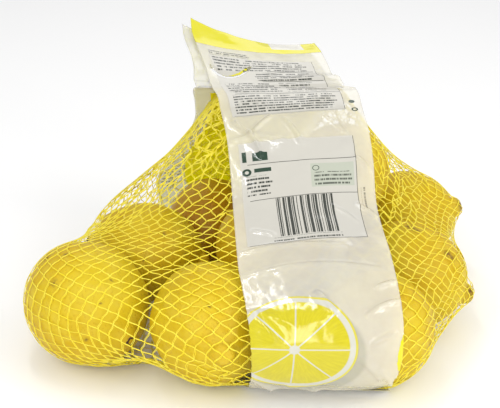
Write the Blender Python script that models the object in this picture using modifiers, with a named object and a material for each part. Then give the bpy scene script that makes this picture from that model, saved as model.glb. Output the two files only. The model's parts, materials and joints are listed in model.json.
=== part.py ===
"""A net bag of lemons: knitted net pulled tight round ten lemons, with a strip of
film up its front that ends in a carrying header, and a second strip under and behind it.

Lengths below are in millimetres and become metres when a mesh is made.  X runs to the
right across the front of the pack, Y to the back and Z up.  Sizes are laid out in a
working frame whose floor point is PACK_CENTRE, and every mesh is moved so that the
middle of the pack's footprint is the origin.
"""
import math

import bmesh
import bpy
import numpy as np

MM = 0.001
PACK_CENTRE = (3.22, 20.65)

# Film and net
FILM = 0.5                     # thickness of each film strip
GAP = 0.35                     # air between net and film, and between the two films
NET_SKIN = 0.5                 # how far the net's outer face stands off a lemon
LIFT = 0.5                     # lemons rest this far above the table, on the net
FLAT_BELOW = 0.6               # net lower than this is pressed flat on the table
NET_INSET_LEFT = (1.0, 5.0, 4)     # the net's seam inside the film's left edge: at the
NET_INSET_RIGHT = (1.5, 7.0, 1)    # bottom weld, at the top weld, and the power between
SLACK = 120.0                  # how far the net stands off a tight line, upper left
WELD_DEPTH = 0.3               # the net ends this share of a row inside each weld
CROWN = 4.0                    # bulge of the front film over the fruit behind it

# Grid of the solids
COLUMNS_SIDE = 27
COLUMNS_FILM = 9
ROWS_NET = 33
RELAX_STEPS = 1200

# Lemons: centre, azimuth and elevation of the blossom end, length, diameter
LEMONS = (
    ((-77.7, -33, 28.8), 134, 12, 71, 58),
    ((-53, 15, 31), -12, -5, 67, 51),
    ((-18, -51.5, 28.6), -80, 4, 70, 57),
    ((9, 9, 37.5), 62, 4, 66, 52),
    ((-21, 61, 25), 78, 0, 68, 49),
    ((82.5, 53, 31), -12, 20, 67, 53),
    ((79.5, -2, 27.5), -14, -14, 68, 53),
    ((58, -54, 27), 25, 4, 63, 53),
    ((47, 36, 66), 80, 6, 66, 51),
    ((29, 79, 26.5), 95, 0, 67, 53),
)

# Edges of the front film from the bottom weld to the top weld, left and right
FRONT_LEFT = (
    (-1, -67.2, 5.2), (-3, -78, 14), (-3, -83.5, 30), (-3, -80, 43), (-4, -67, 53.5),
    (-6, -44.5, 61.5), (-8, -14.5, 69.2), (-10, 12, 81), (-12, 28, 91), (-15, 43, 98),
    (-17, 55, 102), (-20, 64, 103.6),
)
FRONT_RIGHT = (
    (64, -71.2, 6.2), (67, -83, 18), (67, -85, 34), (66.5, -79, 46.5), (66, -66, 53),
    (64.5, -43, 60), (61, -12, 69), (61, 14, 83), (60, 30, 92.5), (58, 43, 98.5),
    (57, 55, 102.5), (55.5, 63.5, 104.2),
)
# Edges of the back film between the same welds, under the fruit and up behind it
BACK_LEFT = (
    (-1, -66, 3.2), (-6, -54, 0.25), (-16, -10, 0.25), (-28, 40, 0.25), (-42, 90, 0.25),
    (-50, 108, 8), (-56, 112, 28), (-44, 105, 50), (-32, 95, 72), (-29, 85, 88),
    (-26.5, 77, 98), (-20.5, 67.5, 102.7),
)
BACK_RIGHT = (
    (64, -70, 4.0), (63, -58, 0.25), (54, -10, 0.25), (42, 40, 0.25), (30, 90, 0.25),
    (20, 112, 8), (14, 118, 28), (28, 111, 50), (42, 98, 73), (45, 88, 91),
    (47, 78.5, 100.5), (50, 67, 103.6),
)
# The header above the top weld: left and right edge, and how far its middle sags.
# Two pleats across it step its right edge inwards.
HEADER = (
    ((-20.4, 65.5, 104.0), (49.8, 65.0, 104.6), 0.1),
    ((-22.0, 73.0, 105.5), (47.5, 73.5, 106.3), 0.3),
    ((-22.4, 75.5, 106.1), (44.2, 75.5, 106.9), 0.4),
    ((-24.5, 86.0, 109.2), (42.6, 84.0, 109.0), 0.9),
    ((-27.5, 97.0, 112.2), (40.8, 93.0, 111.0), 1.5),
    ((-30.5, 108.0, 115.4), (39.0, 100.5, 112.5), 2.3),
    ((-33.0, 118.0, 119.2), (37.4, 105.5, 113.4), 3.2),
    ((-34.0, 128.0, 123.6), (36.0, 110.0, 114.0), 4.5),
)
BACK_HEADER_SHIFT = (-5.0, -2.0)   # the back film lies this far left and forward of the front
HEADER_PARTING = 2.6           # the two films stand this far apart at the header's end

# Hand slot through the header: a crescent, as wide and deep as this
SLOT_LENGTH = 23.0
SLOT_WIDTH = 6.4
SLOT_SAG = 8.5
SLOT_CENTRE = (-11.5, 76.8)
SLOT_TURN = -6.0
SLOT_FLOOR = 102.0             # the cut stops here, above the back film below the header


def direction(azimuth, elevation):
    """Unit vector of a turn from +X about Z and a lift above the floor, in degrees."""
    a = math.radians(azimuth)
    e = math.radians(elevation)
    return np.array([math.cos(a) * math.cos(e), math.sin(a) * math.cos(e), math.sin(e)])


def fruit_ellipsoids():
    """Each lemon as a body and its two drawn-out ends: centre, axis, half length, radius."""
    shapes = []
    for centre, azimuth, elevation, length, diameter in LEMONS:
        c = np.array(centre, float) + (0.0, 0.0, LIFT)
        axis = direction(azimuth, elevation)
        shapes.append((c, axis, 0.43 * length + NET_SKIN, 0.5 * diameter + NET_SKIN))
        shapes.append((c + axis * 0.40 * length, axis,
                       0.10 * length + NET_SKIN, 0.13 * diameter + NET_SKIN))
        shapes.append((c - axis * 0.38 * length, axis,
                       0.10 * length + NET_SKIN, 0.16 * diameter + NET_SKIN))
    return shapes


def exit_distance(origin, ray, shapes):
    """How far along each ray the last of the ellipsoids is left, 0 where none is met."""
    farthest = np.zeros(ray.shape[:-1])
    for centre, axis, half, radius in shapes:
        q = origin - centre
        q_axial = (q @ axis)[..., None] * axis
        d_axial = (ray @ axis)[..., None] * axis
        q = (q - q_axial) / radius + q_axial / half
        d = (ray - d_axial) / radius + d_axial / half
        a = (d * d).sum(-1)
        b = (q * d).sum(-1)
        c = (q * q).sum(-1) - 1.0
        disc = b * b - a * c
        t = (-b + np.sqrt(np.maximum(disc, 0.0))) / a
        farthest = np.where((disc > 0.0) & (t > farthest), t, farthest)
    return farthest


def spline(points, count):
    """A smooth curve through the points, as evenly spaced samples."""
    p = np.array(points, float)
    p = np.vstack([2 * p[0] - p[1], p, 2 * p[-1] - p[-2]])
    fine = []
    for i in range(1, len(p) - 2):
        a, b, c, d = p[i - 1], p[i], p[i + 1], p[i + 2]
        for t in np.linspace(0.0, 1.0, 12, endpoint=False):
            fine.append(0.5 * (2 * b + (c - a) * t + (2 * a - 5 * b + 4 * c - d) * t ** 2
                               + (3 * b - a - 3 * c + d) * t ** 3))
    fine.append(p[-2])
    fine = np.array(fine)
    run = np.concatenate([[0.0], np.cumsum(np.linalg.norm(np.diff(fine, axis=0), axis=1))])
    at = np.linspace(0.0, run[-1], count)
    return np.stack([np.interp(at, run, fine[:, k]) for k in range(3)], 1)


def normals(grid):
    """Unit normals of a grid of points, columns across and rows along."""
    across = np.gradient(grid, axis=0)
    along = np.gradient(grid, axis=1)
    n = np.cross(across, along)
    return n / np.maximum(np.linalg.norm(n, axis=-1, keepdims=True), 1e-9)


def film_band(left, right, crown, outward):
    """The middle surface of a film strip between two welds, bulging by its crown."""
    u = np.linspace(0.0, 1.0, COLUMNS_FILM)[:, None, None]
    a = spline(left, ROWS_NET)
    b = spline(right, ROWS_NET)
    grid = a[None] * (1 - u) + b[None] * u
    v = np.linspace(0.0, 1.0, ROWS_NET)[None, :, None]
    bulge = crown * np.sin(math.pi * u) * np.sin(math.pi * v) ** 0.7 * (1 - 0.6 * v)
    grid = grid + outward * normals(grid) * bulge
    grid[..., 2] = np.maximum(grid[..., 2], 0.5 * FILM)
    return grid


def net_band(film, outward, inset_left, inset_right):
    """The net's face just inside a film strip, narrower than the film by the insets."""
    face = film - outward * normals(film) * (GAP + 0.5 * FILM)
    face[..., 2] = np.maximum(face[..., 2], GAP + FILM)
    width = np.linalg.norm(film[-1] - film[0], axis=1)
    u_film = np.linspace(0.0, 1.0, COLUMNS_FILM)
    out = np.empty_like(face)
    for j in range(face.shape[1]):
        share = j / (face.shape[1] - 1)
        start, end = [(low + (high - low) * share ** power) / width[j]
                      for low, high, power in (inset_left, inset_right)]
        u = np.linspace(start, 1.0 - end, COLUMNS_FILM)
        for k in range(3):
            out[:, j, k] = np.interp(u, u_film, face[:, j, k])
    return out


def net_side(front, back, sign, columns):
    """The net round one side of the fruit, from the front seam to the back seam.

    Every row lies in one plane and every point moves only along its own ray from
    inside the heap, so the net can be drawn tight over the lemons without slipping off.
    """
    shapes = fruit_ellipsoids()
    rows = len(front)
    v = np.linspace(0.0, 1.0, rows)
    centre = 0.5 * (front + back)
    centre[:, 0] -= sign * (3.0 + 27.0 * np.sin(math.pi * v))
    e1 = np.array([sign, 0.0, 0.0])
    e2 = front - back
    e2[:, 0] = 0.0
    e2 /= np.maximum(np.linalg.norm(e2, axis=1, keepdims=True), 1e-6)
    e2[0] = e2[1]
    e2[-1] = e2[-2]

    def angle(points):
        q = points - centre
        return np.arctan2((q * e2).sum(1), q @ e1)

    u = np.linspace(0.0, 1.0, columns)[:, None]
    phi = angle(front) * (1 - u) + angle(back) * u
    ray = np.cos(phi)[..., None] * e1 + np.sin(phi)[..., None] * e2[None]
    lowest = exit_distance(centre[None], ray, shapes)
    down = np.minimum(ray[..., 2], -1e-6)
    highest = np.where(ray[..., 2] < -1e-6, -centre[None, :, 2] / down, 1e9)
    start = (np.linalg.norm(front - centre, axis=1) * (1 - u)
             + np.linalg.norm(back - centre, axis=1) * u)
    reach = start + 60.0 * np.sin(math.pi * u) * np.sin(math.pi * v)
    reach = np.minimum(np.maximum(reach, lowest), highest)
    net = centre[None] + reach[..., None] * ray
    net[:, 0] = 0.5 * (front[0] + back[0])
    net[:, -1] = 0.5 * (front[-1] + back[-1])
    net[0] = front
    net[-1] = back
    # slack keeps the upper left of the net fuller than a drum skin
    slack = 0.0
    if sign < 0:
        rise = np.clip((v[1:-1] - 0.4) / 0.2, 0, 1) * np.clip((1 - v[1:-1]) / 0.4, 0, 1)
        slack = SLACK / (columns * rows) * np.sin(math.pi * u[1:-1]) * rise
    for _ in range(RELAX_STEPS):
        mean = 0.25 * (net[:-2, 1:-1] + net[2:, 1:-1] + net[1:-1, :-2] + net[1:-1, 2:])
        r = ((mean - centre[None, 1:-1]) * ray[1:-1, 1:-1]).sum(-1) + slack
        r = np.minimum(np.maximum(r, lowest[1:-1, 1:-1]), highest[1:-1, 1:-1])
        net[1:-1, 1:-1] = centre[None, 1:-1] + r[..., None] * ray[1:-1, 1:-1]
    inner = net[1:-1, 1:-1]
    inner[inner[..., 2] < FLAT_BELOW, 2] = 0.0
    return net


def header_rows(shift_x=0.0, shift_y=0.0, drop=(0.0, 0.0)):
    """The header as columns and rows, with its sagging middle."""
    u = np.linspace(0.0, 1.0, COLUMNS_FILM)
    rows = []
    count = len(HEADER)
    for k, (left, right, sag) in enumerate(HEADER):
        share = (k + 1) / count
        a = np.array(left, float)
        b = np.array(right, float)
        row = a[None] * (1 - u[:, None]) + b[None] * u[:, None]
        row[:, 2] -= sag * np.sin(math.pi * u) ** 0.8
        row[:, 1] -= 1.2 * sag * np.sin(math.pi * u)
        row += np.array([shift_x * share, shift_y * share, -drop[0] - drop[1] * share])
        rows.append(row)
    return np.stack(rows, 1)


def place(points):
    """From the working frame in millimetres to the pack's frame in metres."""
    p = np.array(points, float).reshape(-1, 3)
    p[:, 0] -= PACK_CENTRE[0]
    p[:, 1] -= PACK_CENTRE[1]
    return p * MM


def add_grid(bm, grid):
    """Add a grid of points to a bmesh, joined up by quads."""
    columns, rows = grid.shape[:2]
    verts = [bm.verts.new(p) for p in place(grid)]
    for i in range(columns - 1):
        for j in range(rows - 1):
            a = i * rows + j
            bm.faces.new((verts[a], verts[a + rows], verts[a + rows + 1], verts[a + 1]))


def make_material(name, colour, roughness):
    """A Principled material for one kind of piece."""
    material = bpy.data.materials.new(name)
    material.use_nodes = True
    shader = material.node_tree.nodes["Principled BSDF"]
    shader.inputs["Base Color"].default_value = (*colour, 1.0)
    shader.inputs["Roughness"].default_value = roughness
    shader.inputs["Metallic"].default_value = 0.0
    return material


def mesh_object(name, bm, collection, material):
    """Turn a bmesh into a named, smooth-shaded object in a collection."""
    mesh = bpy.data.meshes.new(name)
    bm.to_mesh(mesh)
    bm.free()
    mesh.shade_smooth()
    mesh.materials.append(material)
    obj = bpy.data.objects.new(name, mesh)
    collection.objects.link(obj)
    return obj


def build_net_bag(front, back, collection, material):
    """The net round all its lemons as one closed solid, with flat spots where it rests."""
    for row, inside in ((0, 1), (-1, -2)):
        seam = 0.5 * (front[:, row] + back[:, row])
        depth = 0.5 * (front[:, inside] + back[:, inside])
        weld = seam * (1.0 - WELD_DEPTH) + depth * WELD_DEPTH
        front[:, row] = weld
        back[:, row] = weld
    left = net_side(front[0], back[0], -1, COLUMNS_SIDE)
    right = net_side(front[-1], back[-1], 1, COLUMNS_SIDE)
    bm = bmesh.new()
    for grid in (front, left, back, right):
        add_grid(bm, grid)
    bmesh.ops.remove_doubles(bm, verts=bm.verts, dist=0.00002)
    bmesh.ops.recalc_face_normals(bm, faces=bm.faces)
    return mesh_object("net_bag", bm, collection, material)


def build_film(name, grid, collection, material):
    """A film strip: an open sheet given its thickness by Solidify."""
    bm = bmesh.new()
    add_grid(bm, grid)
    bmesh.ops.recalc_face_normals(bm, faces=bm.faces)
    obj = mesh_object(name, bm, collection, material)
    solid = obj.modifiers.new("Thickness", "SOLIDIFY")
    solid.thickness = FILM * MM
    solid.offset = 0.0
    solid.use_even_offset = True
    return obj


def slot_cutter(collection):
    """A crescent prism that cuts the hand slot, standing upright through the header."""
    steps = 10
    inner = []
    outer = []
    for k in range(steps + 1):
        t = -1.0 + 2.0 * k / steps
        x = 0.5 * SLOT_LENGTH * t
        sag = SLOT_SAG * t * t
        half = 0.5 * SLOT_WIDTH * math.sqrt(max(1.0 - t ** 4, 0.04))
        inner.append((x, sag - half))
        outer.append((x, sag + half))
    turn = math.radians(SLOT_TURN)
    outline = inner + outer[::-1]
    bm = bmesh.new()
    ring = []
    for x, y in outline:
        px = SLOT_CENTRE[0] + x * math.cos(turn) - y * math.sin(turn)
        py = SLOT_CENTRE[1] + x * math.sin(turn) + y * math.cos(turn)
        ring.append(bm.verts.new(place([(px, py, SLOT_FLOOR)])[0]))
    face = bm.faces.new(ring)
    wall = bmesh.ops.extrude_face_region(bm, geom=[face])
    top = [v for v in wall["geom"] if isinstance(v, bmesh.types.BMVert)]
    bmesh.ops.translate(bm, verts=top, vec=(0.0, 0.0, 40.0 * MM))
    bmesh.ops.recalc_face_normals(bm, faces=bm.faces)
    mesh = bpy.data.meshes.new("slot_cutter")
    bm.to_mesh(mesh)
    bm.free()
    cutter = bpy.data.objects.new("slot_cutter", mesh)
    collection.objects.link(cutter)
    cutter.hide_render = True
    cutter.display_type = "WIRE"
    return cutter


def main():
    for obj in list(bpy.data.objects):
        bpy.data.objects.remove(obj, do_unlink=True)
    pack = bpy.data.collections.new("net_of_lemons")
    cutters = bpy.data.collections.new("cutters")
    bpy.context.scene.collection.children.link(pack)
    bpy.context.scene.collection.children.link(cutters)

    net_yellow = make_material("net_yellow", (0.82, 0.62, 0.03), 0.5)
    film_cream = make_material("film_cream", (0.83, 0.80, 0.70), 0.25)

    front_film = film_band(FRONT_LEFT, FRONT_RIGHT, CROWN, 1.0)
    back_film = film_band(BACK_LEFT, BACK_RIGHT, 0.0, -1.0)
    front_net = net_band(front_film, 1.0, NET_INSET_LEFT, NET_INSET_RIGHT)
    back_net = net_band(back_film, -1.0, NET_INSET_LEFT, NET_INSET_RIGHT)
    build_net_bag(front_net, back_net, pack, net_yellow)

    front_sheet = np.concatenate([front_film, header_rows()], axis=1)
    drop = (FILM + GAP, HEADER_PARTING)
    back_header = header_rows(BACK_HEADER_SHIFT[0], BACK_HEADER_SHIFT[1], drop)
    back_sheet = np.concatenate([back_film, back_header[:, 1:]], axis=1)
    cutter = slot_cutter(cutters)
    for name, sheet in (("front_film", front_sheet), ("back_film", back_sheet)):
        film = build_film(name, sheet, pack, film_cream)
        cut = film.modifiers.new("Hand slot", "BOOLEAN")
        cut.operation = "DIFFERENCE"
        cut.solver = "EXACT"
        cut.object = cutter


main()
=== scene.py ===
"""Looks of a net bag of lemons: ten lemons in a knitted net, with a printed film strip up
the front that ends in a carrying header, and a second strip under and behind the fruit.

Working lengths are millimetres in the frame of the part's construction, whose floor point
PACK_CENTRE is the origin of the pack's own frame.  place() turns them into metres there.
"""
import json
import math

import bmesh
import bpy
import numpy as np
from bpy.props import FloatProperty, FloatVectorProperty, PointerProperty
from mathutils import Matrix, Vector, noise
from mathutils.bvhtree import BVHTree

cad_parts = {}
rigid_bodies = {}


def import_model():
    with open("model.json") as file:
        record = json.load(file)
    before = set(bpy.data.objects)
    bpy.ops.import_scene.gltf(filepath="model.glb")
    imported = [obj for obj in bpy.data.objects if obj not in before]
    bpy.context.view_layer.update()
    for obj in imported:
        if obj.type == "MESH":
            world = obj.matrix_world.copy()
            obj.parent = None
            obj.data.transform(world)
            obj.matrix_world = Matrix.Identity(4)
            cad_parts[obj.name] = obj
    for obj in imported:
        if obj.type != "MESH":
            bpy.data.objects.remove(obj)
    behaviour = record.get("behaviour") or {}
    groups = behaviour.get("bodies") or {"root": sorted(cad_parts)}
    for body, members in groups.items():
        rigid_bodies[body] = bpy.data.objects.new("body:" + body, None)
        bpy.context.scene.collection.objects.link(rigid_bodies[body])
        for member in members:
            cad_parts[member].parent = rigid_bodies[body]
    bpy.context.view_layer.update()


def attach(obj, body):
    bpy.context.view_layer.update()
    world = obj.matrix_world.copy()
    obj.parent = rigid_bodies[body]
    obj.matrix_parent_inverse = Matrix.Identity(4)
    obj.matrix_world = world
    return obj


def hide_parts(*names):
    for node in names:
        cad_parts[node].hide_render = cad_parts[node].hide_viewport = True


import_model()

bl_info = {
    "name": "Net bag of lemons",
    "version": (1, 0, 0),
    "blender": (4, 5, 0),
    "location": "3D View > Sidebar > Lemons",
    "description": "Builds lemons in a knitted net with printed film strips",
    "category": "Object",
}

MM = 0.001
PACK_CENTRE = (3.22, 20.65)

# ---------------------------------------------------------------- the pack's construction

FILM = 0.5                     # thickness that the construction gives each film
GAP = 0.35
NET_SKIN = 0.5
LIFT = 0.5
NET_INSET_LEFT = (1.0, 5.0, 4)
NET_INSET_RIGHT = (1.5, 7.0, 1)
SLACK = 120.0                  # how far the net stands off a tight line, upper left
WELD_DEPTH = 0.3
CROWN = 4.0

LEMONS = {
    "front_left": ((-77.7, -33, 28.8), 134, 12, 71, 58),
    "upper_left": ((-53, 15, 31), -12, -5, 67, 51),
    "front_middle": ((-18, -51.5, 28.6), -80, 4, 70, 57),
    "middle": ((9, 9, 37.5), 62, 4, 66, 52),
    "back_left": ((-21, 61, 25), 78, 0, 68, 49),
    "back_right": ((82.5, 53, 31), -12, 20, 67, 53),
    "right": ((79.5, -2, 27.5), -14, -14, 68, 53),
    "front_right": ((58, -54, 27), 25, 4, 63, 53),
    "top": ((47, 36, 66), 80, 6, 66, 51),
    "back": ((29, 79, 26.5), 95, 0, 67, 53),
}

FRONT_LEFT = (
    (-1, -67.2, 5.2), (-3, -78, 14), (-3, -83.5, 30), (-3, -80, 43), (-4, -67, 53.5),
    (-6, -44.5, 61.5), (-8, -14.5, 69.2), (-10, 12, 81), (-12, 28, 91), (-15, 43, 98),
    (-17, 55, 102), (-20, 64, 103.6),
)
FRONT_RIGHT = (
    (64, -71.2, 6.2), (67, -83, 18), (67, -85, 34), (66.5, -79, 46.5), (66, -66, 53),
    (64.5, -43, 60), (61, -12, 69), (61, 14, 83), (60, 30, 92.5), (58, 43, 98.5),
    (57, 55, 102.5), (55.5, 63.5, 104.2),
)
BACK_LEFT = (
    (-1, -66, 3.2), (-6, -54, 0.25), (-16, -10, 0.25), (-28, 40, 0.25), (-42, 90, 0.25),
    (-50, 108, 8), (-56, 112, 28), (-44, 105, 50), (-32, 95, 72), (-29, 85, 88),
    (-26.5, 77, 98), (-20.5, 67.5, 102.7),
)
BACK_RIGHT = (
    (64, -70, 4.0), (63, -58, 0.25), (54, -10, 0.25), (42, 40, 0.25), (30, 90, 0.25),
    (20, 112, 8), (14, 118, 28), (28, 111, 50), (42, 98, 73), (45, 88, 91),
    (47, 78.5, 100.5), (50, 67, 103.6),
)
HEADER = (
    ((-20.4, 65.5, 104.0), (49.8, 65.0, 104.6), 0.1),
    ((-22.0, 73.0, 105.5), (47.5, 73.5, 106.3), 0.3),
    ((-22.4, 75.5, 106.1), (44.2, 75.5, 106.9), 0.4),
    ((-24.5, 86.0, 109.2), (42.6, 84.0, 109.0), 0.9),
    ((-27.5, 97.0, 112.2), (40.8, 93.0, 111.0), 1.5),
    ((-30.5, 108.0, 115.4), (39.0, 100.5, 112.5), 2.3),
    ((-33.0, 118.0, 119.2), (37.4, 105.5, 113.4), 3.2),
    ((-34.0, 128.0, 123.6), (36.0, 110.0, 114.0), 4.5),
)
BACK_HEADER_SHIFT = (-5.0, -2.0)   # the back film lies this far left and forward of the front
HEADER_PARTING = 2.6
EDGE_FLARE = 7.0               # how far the back film's left edge stands out by the weld
SLOT_LENGTH = 23.0
SLOT_WIDTH = 6.4
SLOT_SAG = 8.5
SLOT_CENTRE = (-11.5, 76.8)
SLOT_TURN = -6.0
SLOT_GAP = 2.6                 # opening under the hand slot's flap

# ---------------------------------------------------------------- finish of the pieces

NET_COLUMNS = 65               # fine grid of the net's sides, front seam to back seam
NET_ROWS = 97
RELAX_STEPS = 4000
DIAMONDS_LEFT = 32             # meshes of the net across each of its four panels
DIAMONDS_RIGHT = 25
DIAMONDS_BAND = 8
DIAMONDS_LONG = 30             # meshes from the bottom weld to the top weld
MESH_SIDE = 5.6                # length of a mesh's side
SLIDES = 900                   # steps in which the joins slide into place
GLIDE = 0.86                   # share of its speed that a sliding join keeps
STRAND_STIFFNESS = 0.05        # how straight the strands try to lie, against their length
FILAMENT_GAP = 0.36            # half the gap between a strand's two filaments
GATHER = (0.87, 0.97, 0.92)    # where up the pack the net closes to the film's left edge
TUCKS = (                      # where the net sags between lemons: place, reach, shift
    (-47.0, -66.0, 3.0, 17.0, 0.0, 17.0, 1.0),
    (-70.0, 37.0, 47.0, 21.0, -3.8, 0.0, 3.6),
    (-34.0, 60.0, 81.0, 18.0, 3.5, 0.0, -4.0),
)
STEPS_A_LEG = 3                # pieces of curve between two joins of the net
JOIN = 0.55                    # how long two strands run together at a join, 0 to 1
FILM_WIDE = 70.0               # a film strip's width
FILM_LONG = 270.0              # millimetres of film for one unit of its UV map
WELD_AT = 202.0                # how far up the front film its weld to the back film lies
HEADER_FROM = 195              # from here up the front film is header
FLARE_AT = 314.0               # how far along the back film its left edge stands out most
FLARE_REACH = 24.0
FILM_CLEARANCE = 0.0009        # how far the films stay off the peel, in metres
FILM_THIN = 0.16               # real film is thinner than the construction's


def place(points):
    """From the working frame in millimetres to the pack's frame in metres."""
    p = np.array(points, float)
    shape = p.shape
    p = p.reshape(-1, 3).copy()
    p[:, 0] -= PACK_CENTRE[0]
    p[:, 1] -= PACK_CENTRE[1]
    return (p * MM).reshape(shape)


def direction(azimuth, elevation):
    """Unit vector of a turn from +X about Z and a lift above the floor, in degrees."""
    a = math.radians(azimuth)
    e = math.radians(elevation)
    return np.array([math.cos(a) * math.cos(e), math.sin(a) * math.cos(e), math.sin(e)])


def fruit_ellipsoids():
    """Each lemon as a body and its two drawn-out ends: centre, axis, half length, radius."""
    shapes = []
    for centre, azimuth, elevation, length, diameter in LEMONS.values():
        c = np.array(centre, float) + (0.0, 0.0, LIFT)
        axis = direction(azimuth, elevation)
        shapes.append((c, axis, 0.43 * length + NET_SKIN, 0.5 * diameter + NET_SKIN))
        shapes.append((c + axis * 0.40 * length, axis,
                       0.10 * length + NET_SKIN, 0.13 * diameter + NET_SKIN))
        shapes.append((c - axis * 0.38 * length, axis,
                       0.10 * length + NET_SKIN, 0.16 * diameter + NET_SKIN))
    return shapes


def exit_distance(origin, ray, shapes):
    """How far along each ray the last of the ellipsoids is left, 0 where none is met."""
    farthest = np.zeros(ray.shape[:-1])
    for centre, axis, half, radius in shapes:
        q = origin - centre
        q_axial = (q @ axis)[..., None] * axis
        d_axial = (ray @ axis)[..., None] * axis
        q = (q - q_axial) / radius + q_axial / half
        d = (ray - d_axial) / radius + d_axial / half
        a = (d * d).sum(-1)
        b = (q * d).sum(-1)
        c = (q * q).sum(-1) - 1.0
        disc = b * b - a * c
        t = (-b + np.sqrt(np.maximum(disc, 0.0))) / a
        farthest = np.where((disc > 0.0) & (t > farthest), t, farthest)
    return farthest


def run_lengths(points):
    """How far along a line of points each of them lies."""
    return np.concatenate([[0.0], np.cumsum(np.linalg.norm(np.diff(points, axis=0), axis=1))])


def spline(points, count):
    """A smooth curve through the points, as evenly spaced samples."""
    p = np.array(points, float)
    p = np.vstack([2 * p[0] - p[1], p, 2 * p[-1] - p[-2]])
    fine = []
    for i in range(1, len(p) - 2):
        a, b, c, d = p[i - 1], p[i], p[i + 1], p[i + 2]
        for t in np.linspace(0.0, 1.0, 12, endpoint=False):
            fine.append(0.5 * (2 * b + (c - a) * t + (2 * a - 5 * b + 4 * c - d) * t ** 2
                               + (3 * b - a - 3 * c + d) * t ** 3))
    fine.append(p[-2])
    fine = np.array(fine)
    run = run_lengths(fine)
    at = np.linspace(0.0, run[-1], count)
    return np.stack([np.interp(at, run, fine[:, k]) for k in range(fine.shape[1])], 1)


def normals(grid):
    """Unit normals of a grid of points, columns across and rows along."""
    across = np.gradient(grid, axis=0)
    along = np.gradient(grid, axis=1)
    n = np.cross(across, along)
    return n / np.maximum(np.linalg.norm(n, axis=-1, keepdims=True), 1e-9)


def film_band(left, right, crown, outward, columns, rows):
    """The middle surface of a film strip between two welds, bulging by its crown."""
    u = np.linspace(0.0, 1.0, columns)[:, None, None]
    grid = spline(left, rows)[None] * (1 - u) + spline(right, rows)[None] * u
    v = np.linspace(0.0, 1.0, rows)[None, :, None]
    bulge = crown * np.sin(math.pi * u) * np.sin(math.pi * v) ** 0.7 * (1 - 0.6 * v)
    grid = grid + outward * normals(grid) * bulge
    grid[..., 2] = np.maximum(grid[..., 2], 0.5 * FILM)
    return grid


def net_band(film, outward):
    """The net's face just inside a film strip, a little narrower than the film."""
    columns, rows = film.shape[:2]
    face = film - outward * normals(film) * (GAP + 0.5 * FILM)
    face[..., 2] = np.maximum(face[..., 2], GAP + FILM)
    width = np.linalg.norm(film[-1] - film[0], axis=1)
    u_film = np.linspace(0.0, 1.0, columns)
    out = np.empty_like(face)
    for j in range(rows):
        share = j / (rows - 1)
        start, end = [(low + (high - low) * share ** power) / width[j]
                      for low, high, power in (NET_INSET_LEFT, NET_INSET_RIGHT)]
        u = np.linspace(start, 1.0 - end, columns)
        for k in range(3):
            out[:, j, k] = np.interp(u, u_film, face[:, j, k])
    return out


def net_side(front, back, sign, columns):
    """The net round one side of the fruit, from the front seam to the back seam.

    Every row lies in one plane and every point moves only along its own ray from
    inside the heap, so the net can be drawn tight over the lemons without slipping off.
    """
    shapes = fruit_ellipsoids()
    rows = len(front)
    v = np.linspace(0.0, 1.0, rows)
    centre = 0.5 * (front + back)
    centre[:, 0] -= sign * (3.0 + 27.0 * np.sin(math.pi * v))
    e1 = np.array([sign, 0.0, 0.0])
    e2 = front - back
    e2[:, 0] = 0.0
    e2 /= np.maximum(np.linalg.norm(e2, axis=1, keepdims=True), 1e-6)
    e2[:3] = e2[3]
    e2[-3:] = e2[-4]

    def angle(points):
        q = points - centre
        return np.arctan2((q * e2).sum(1), q @ e1)

    u = np.linspace(0.0, 1.0, columns)[:, None]
    phi = angle(front) * (1 - u) + angle(back) * u
    ray = np.cos(phi)[..., None] * e1 + np.sin(phi)[..., None] * e2[None]
    lowest = exit_distance(centre[None], ray, shapes)
    down = np.minimum(ray[..., 2], -1e-6)
    highest = np.where(ray[..., 2] < -1e-6, -centre[None, :, 2] / down, 1e9)
    start = (np.linalg.norm(front - centre, axis=1) * (1 - u)
             + np.linalg.norm(back - centre, axis=1) * u)
    reach = start + 60.0 * np.sin(math.pi * u) * np.sin(math.pi * v)
    reach = np.minimum(np.maximum(reach, lowest), highest)
    net = centre[None] + reach[..., None] * ray
    net[:, 0] = 0.5 * (front[0] + back[0])
    net[:, -1] = 0.5 * (front[-1] + back[-1])
    net[0] = front
    net[-1] = back
    # slack keeps the upper left of the net fuller than a drum skin
    slack = 0.0
    if sign < 0:
        rise = np.clip((v[1:-1] - 0.4) / 0.2, 0, 1) * np.clip((1 - v[1:-1]) / 0.4, 0, 1)
        slack = SLACK / (columns * rows) * np.sin(math.pi * u[1:-1]) * rise
    for _ in range(RELAX_STEPS):
        mean = 0.25 * (net[:-2, 1:-1] + net[2:, 1:-1] + net[1:-1, :-2] + net[1:-1, 2:])
        r = ((mean - centre[None, 1:-1]) * ray[1:-1, 1:-1]).sum(-1) + slack
        r = np.minimum(np.maximum(r, lowest[1:-1, 1:-1]), highest[1:-1, 1:-1])
        net[1:-1, 1:-1] = centre[None, 1:-1] + r[..., None] * ray[1:-1, 1:-1]
    return net


def even_rows(grid, share):
    """Shift the points of each row towards even spacing along it."""
    out = grid.copy()
    u = np.linspace(0.0, 1.0, len(grid))
    for j in range(grid.shape[1]):
        run = run_lengths(grid[:, j])
        if run[-1] < 1e-6:
            continue
        at = share * u + (1 - share) * run / run[-1]
        for k in range(3):
            out[:, j, k] = np.interp(at, run / run[-1], grid[:, j, k])
    return out


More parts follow.
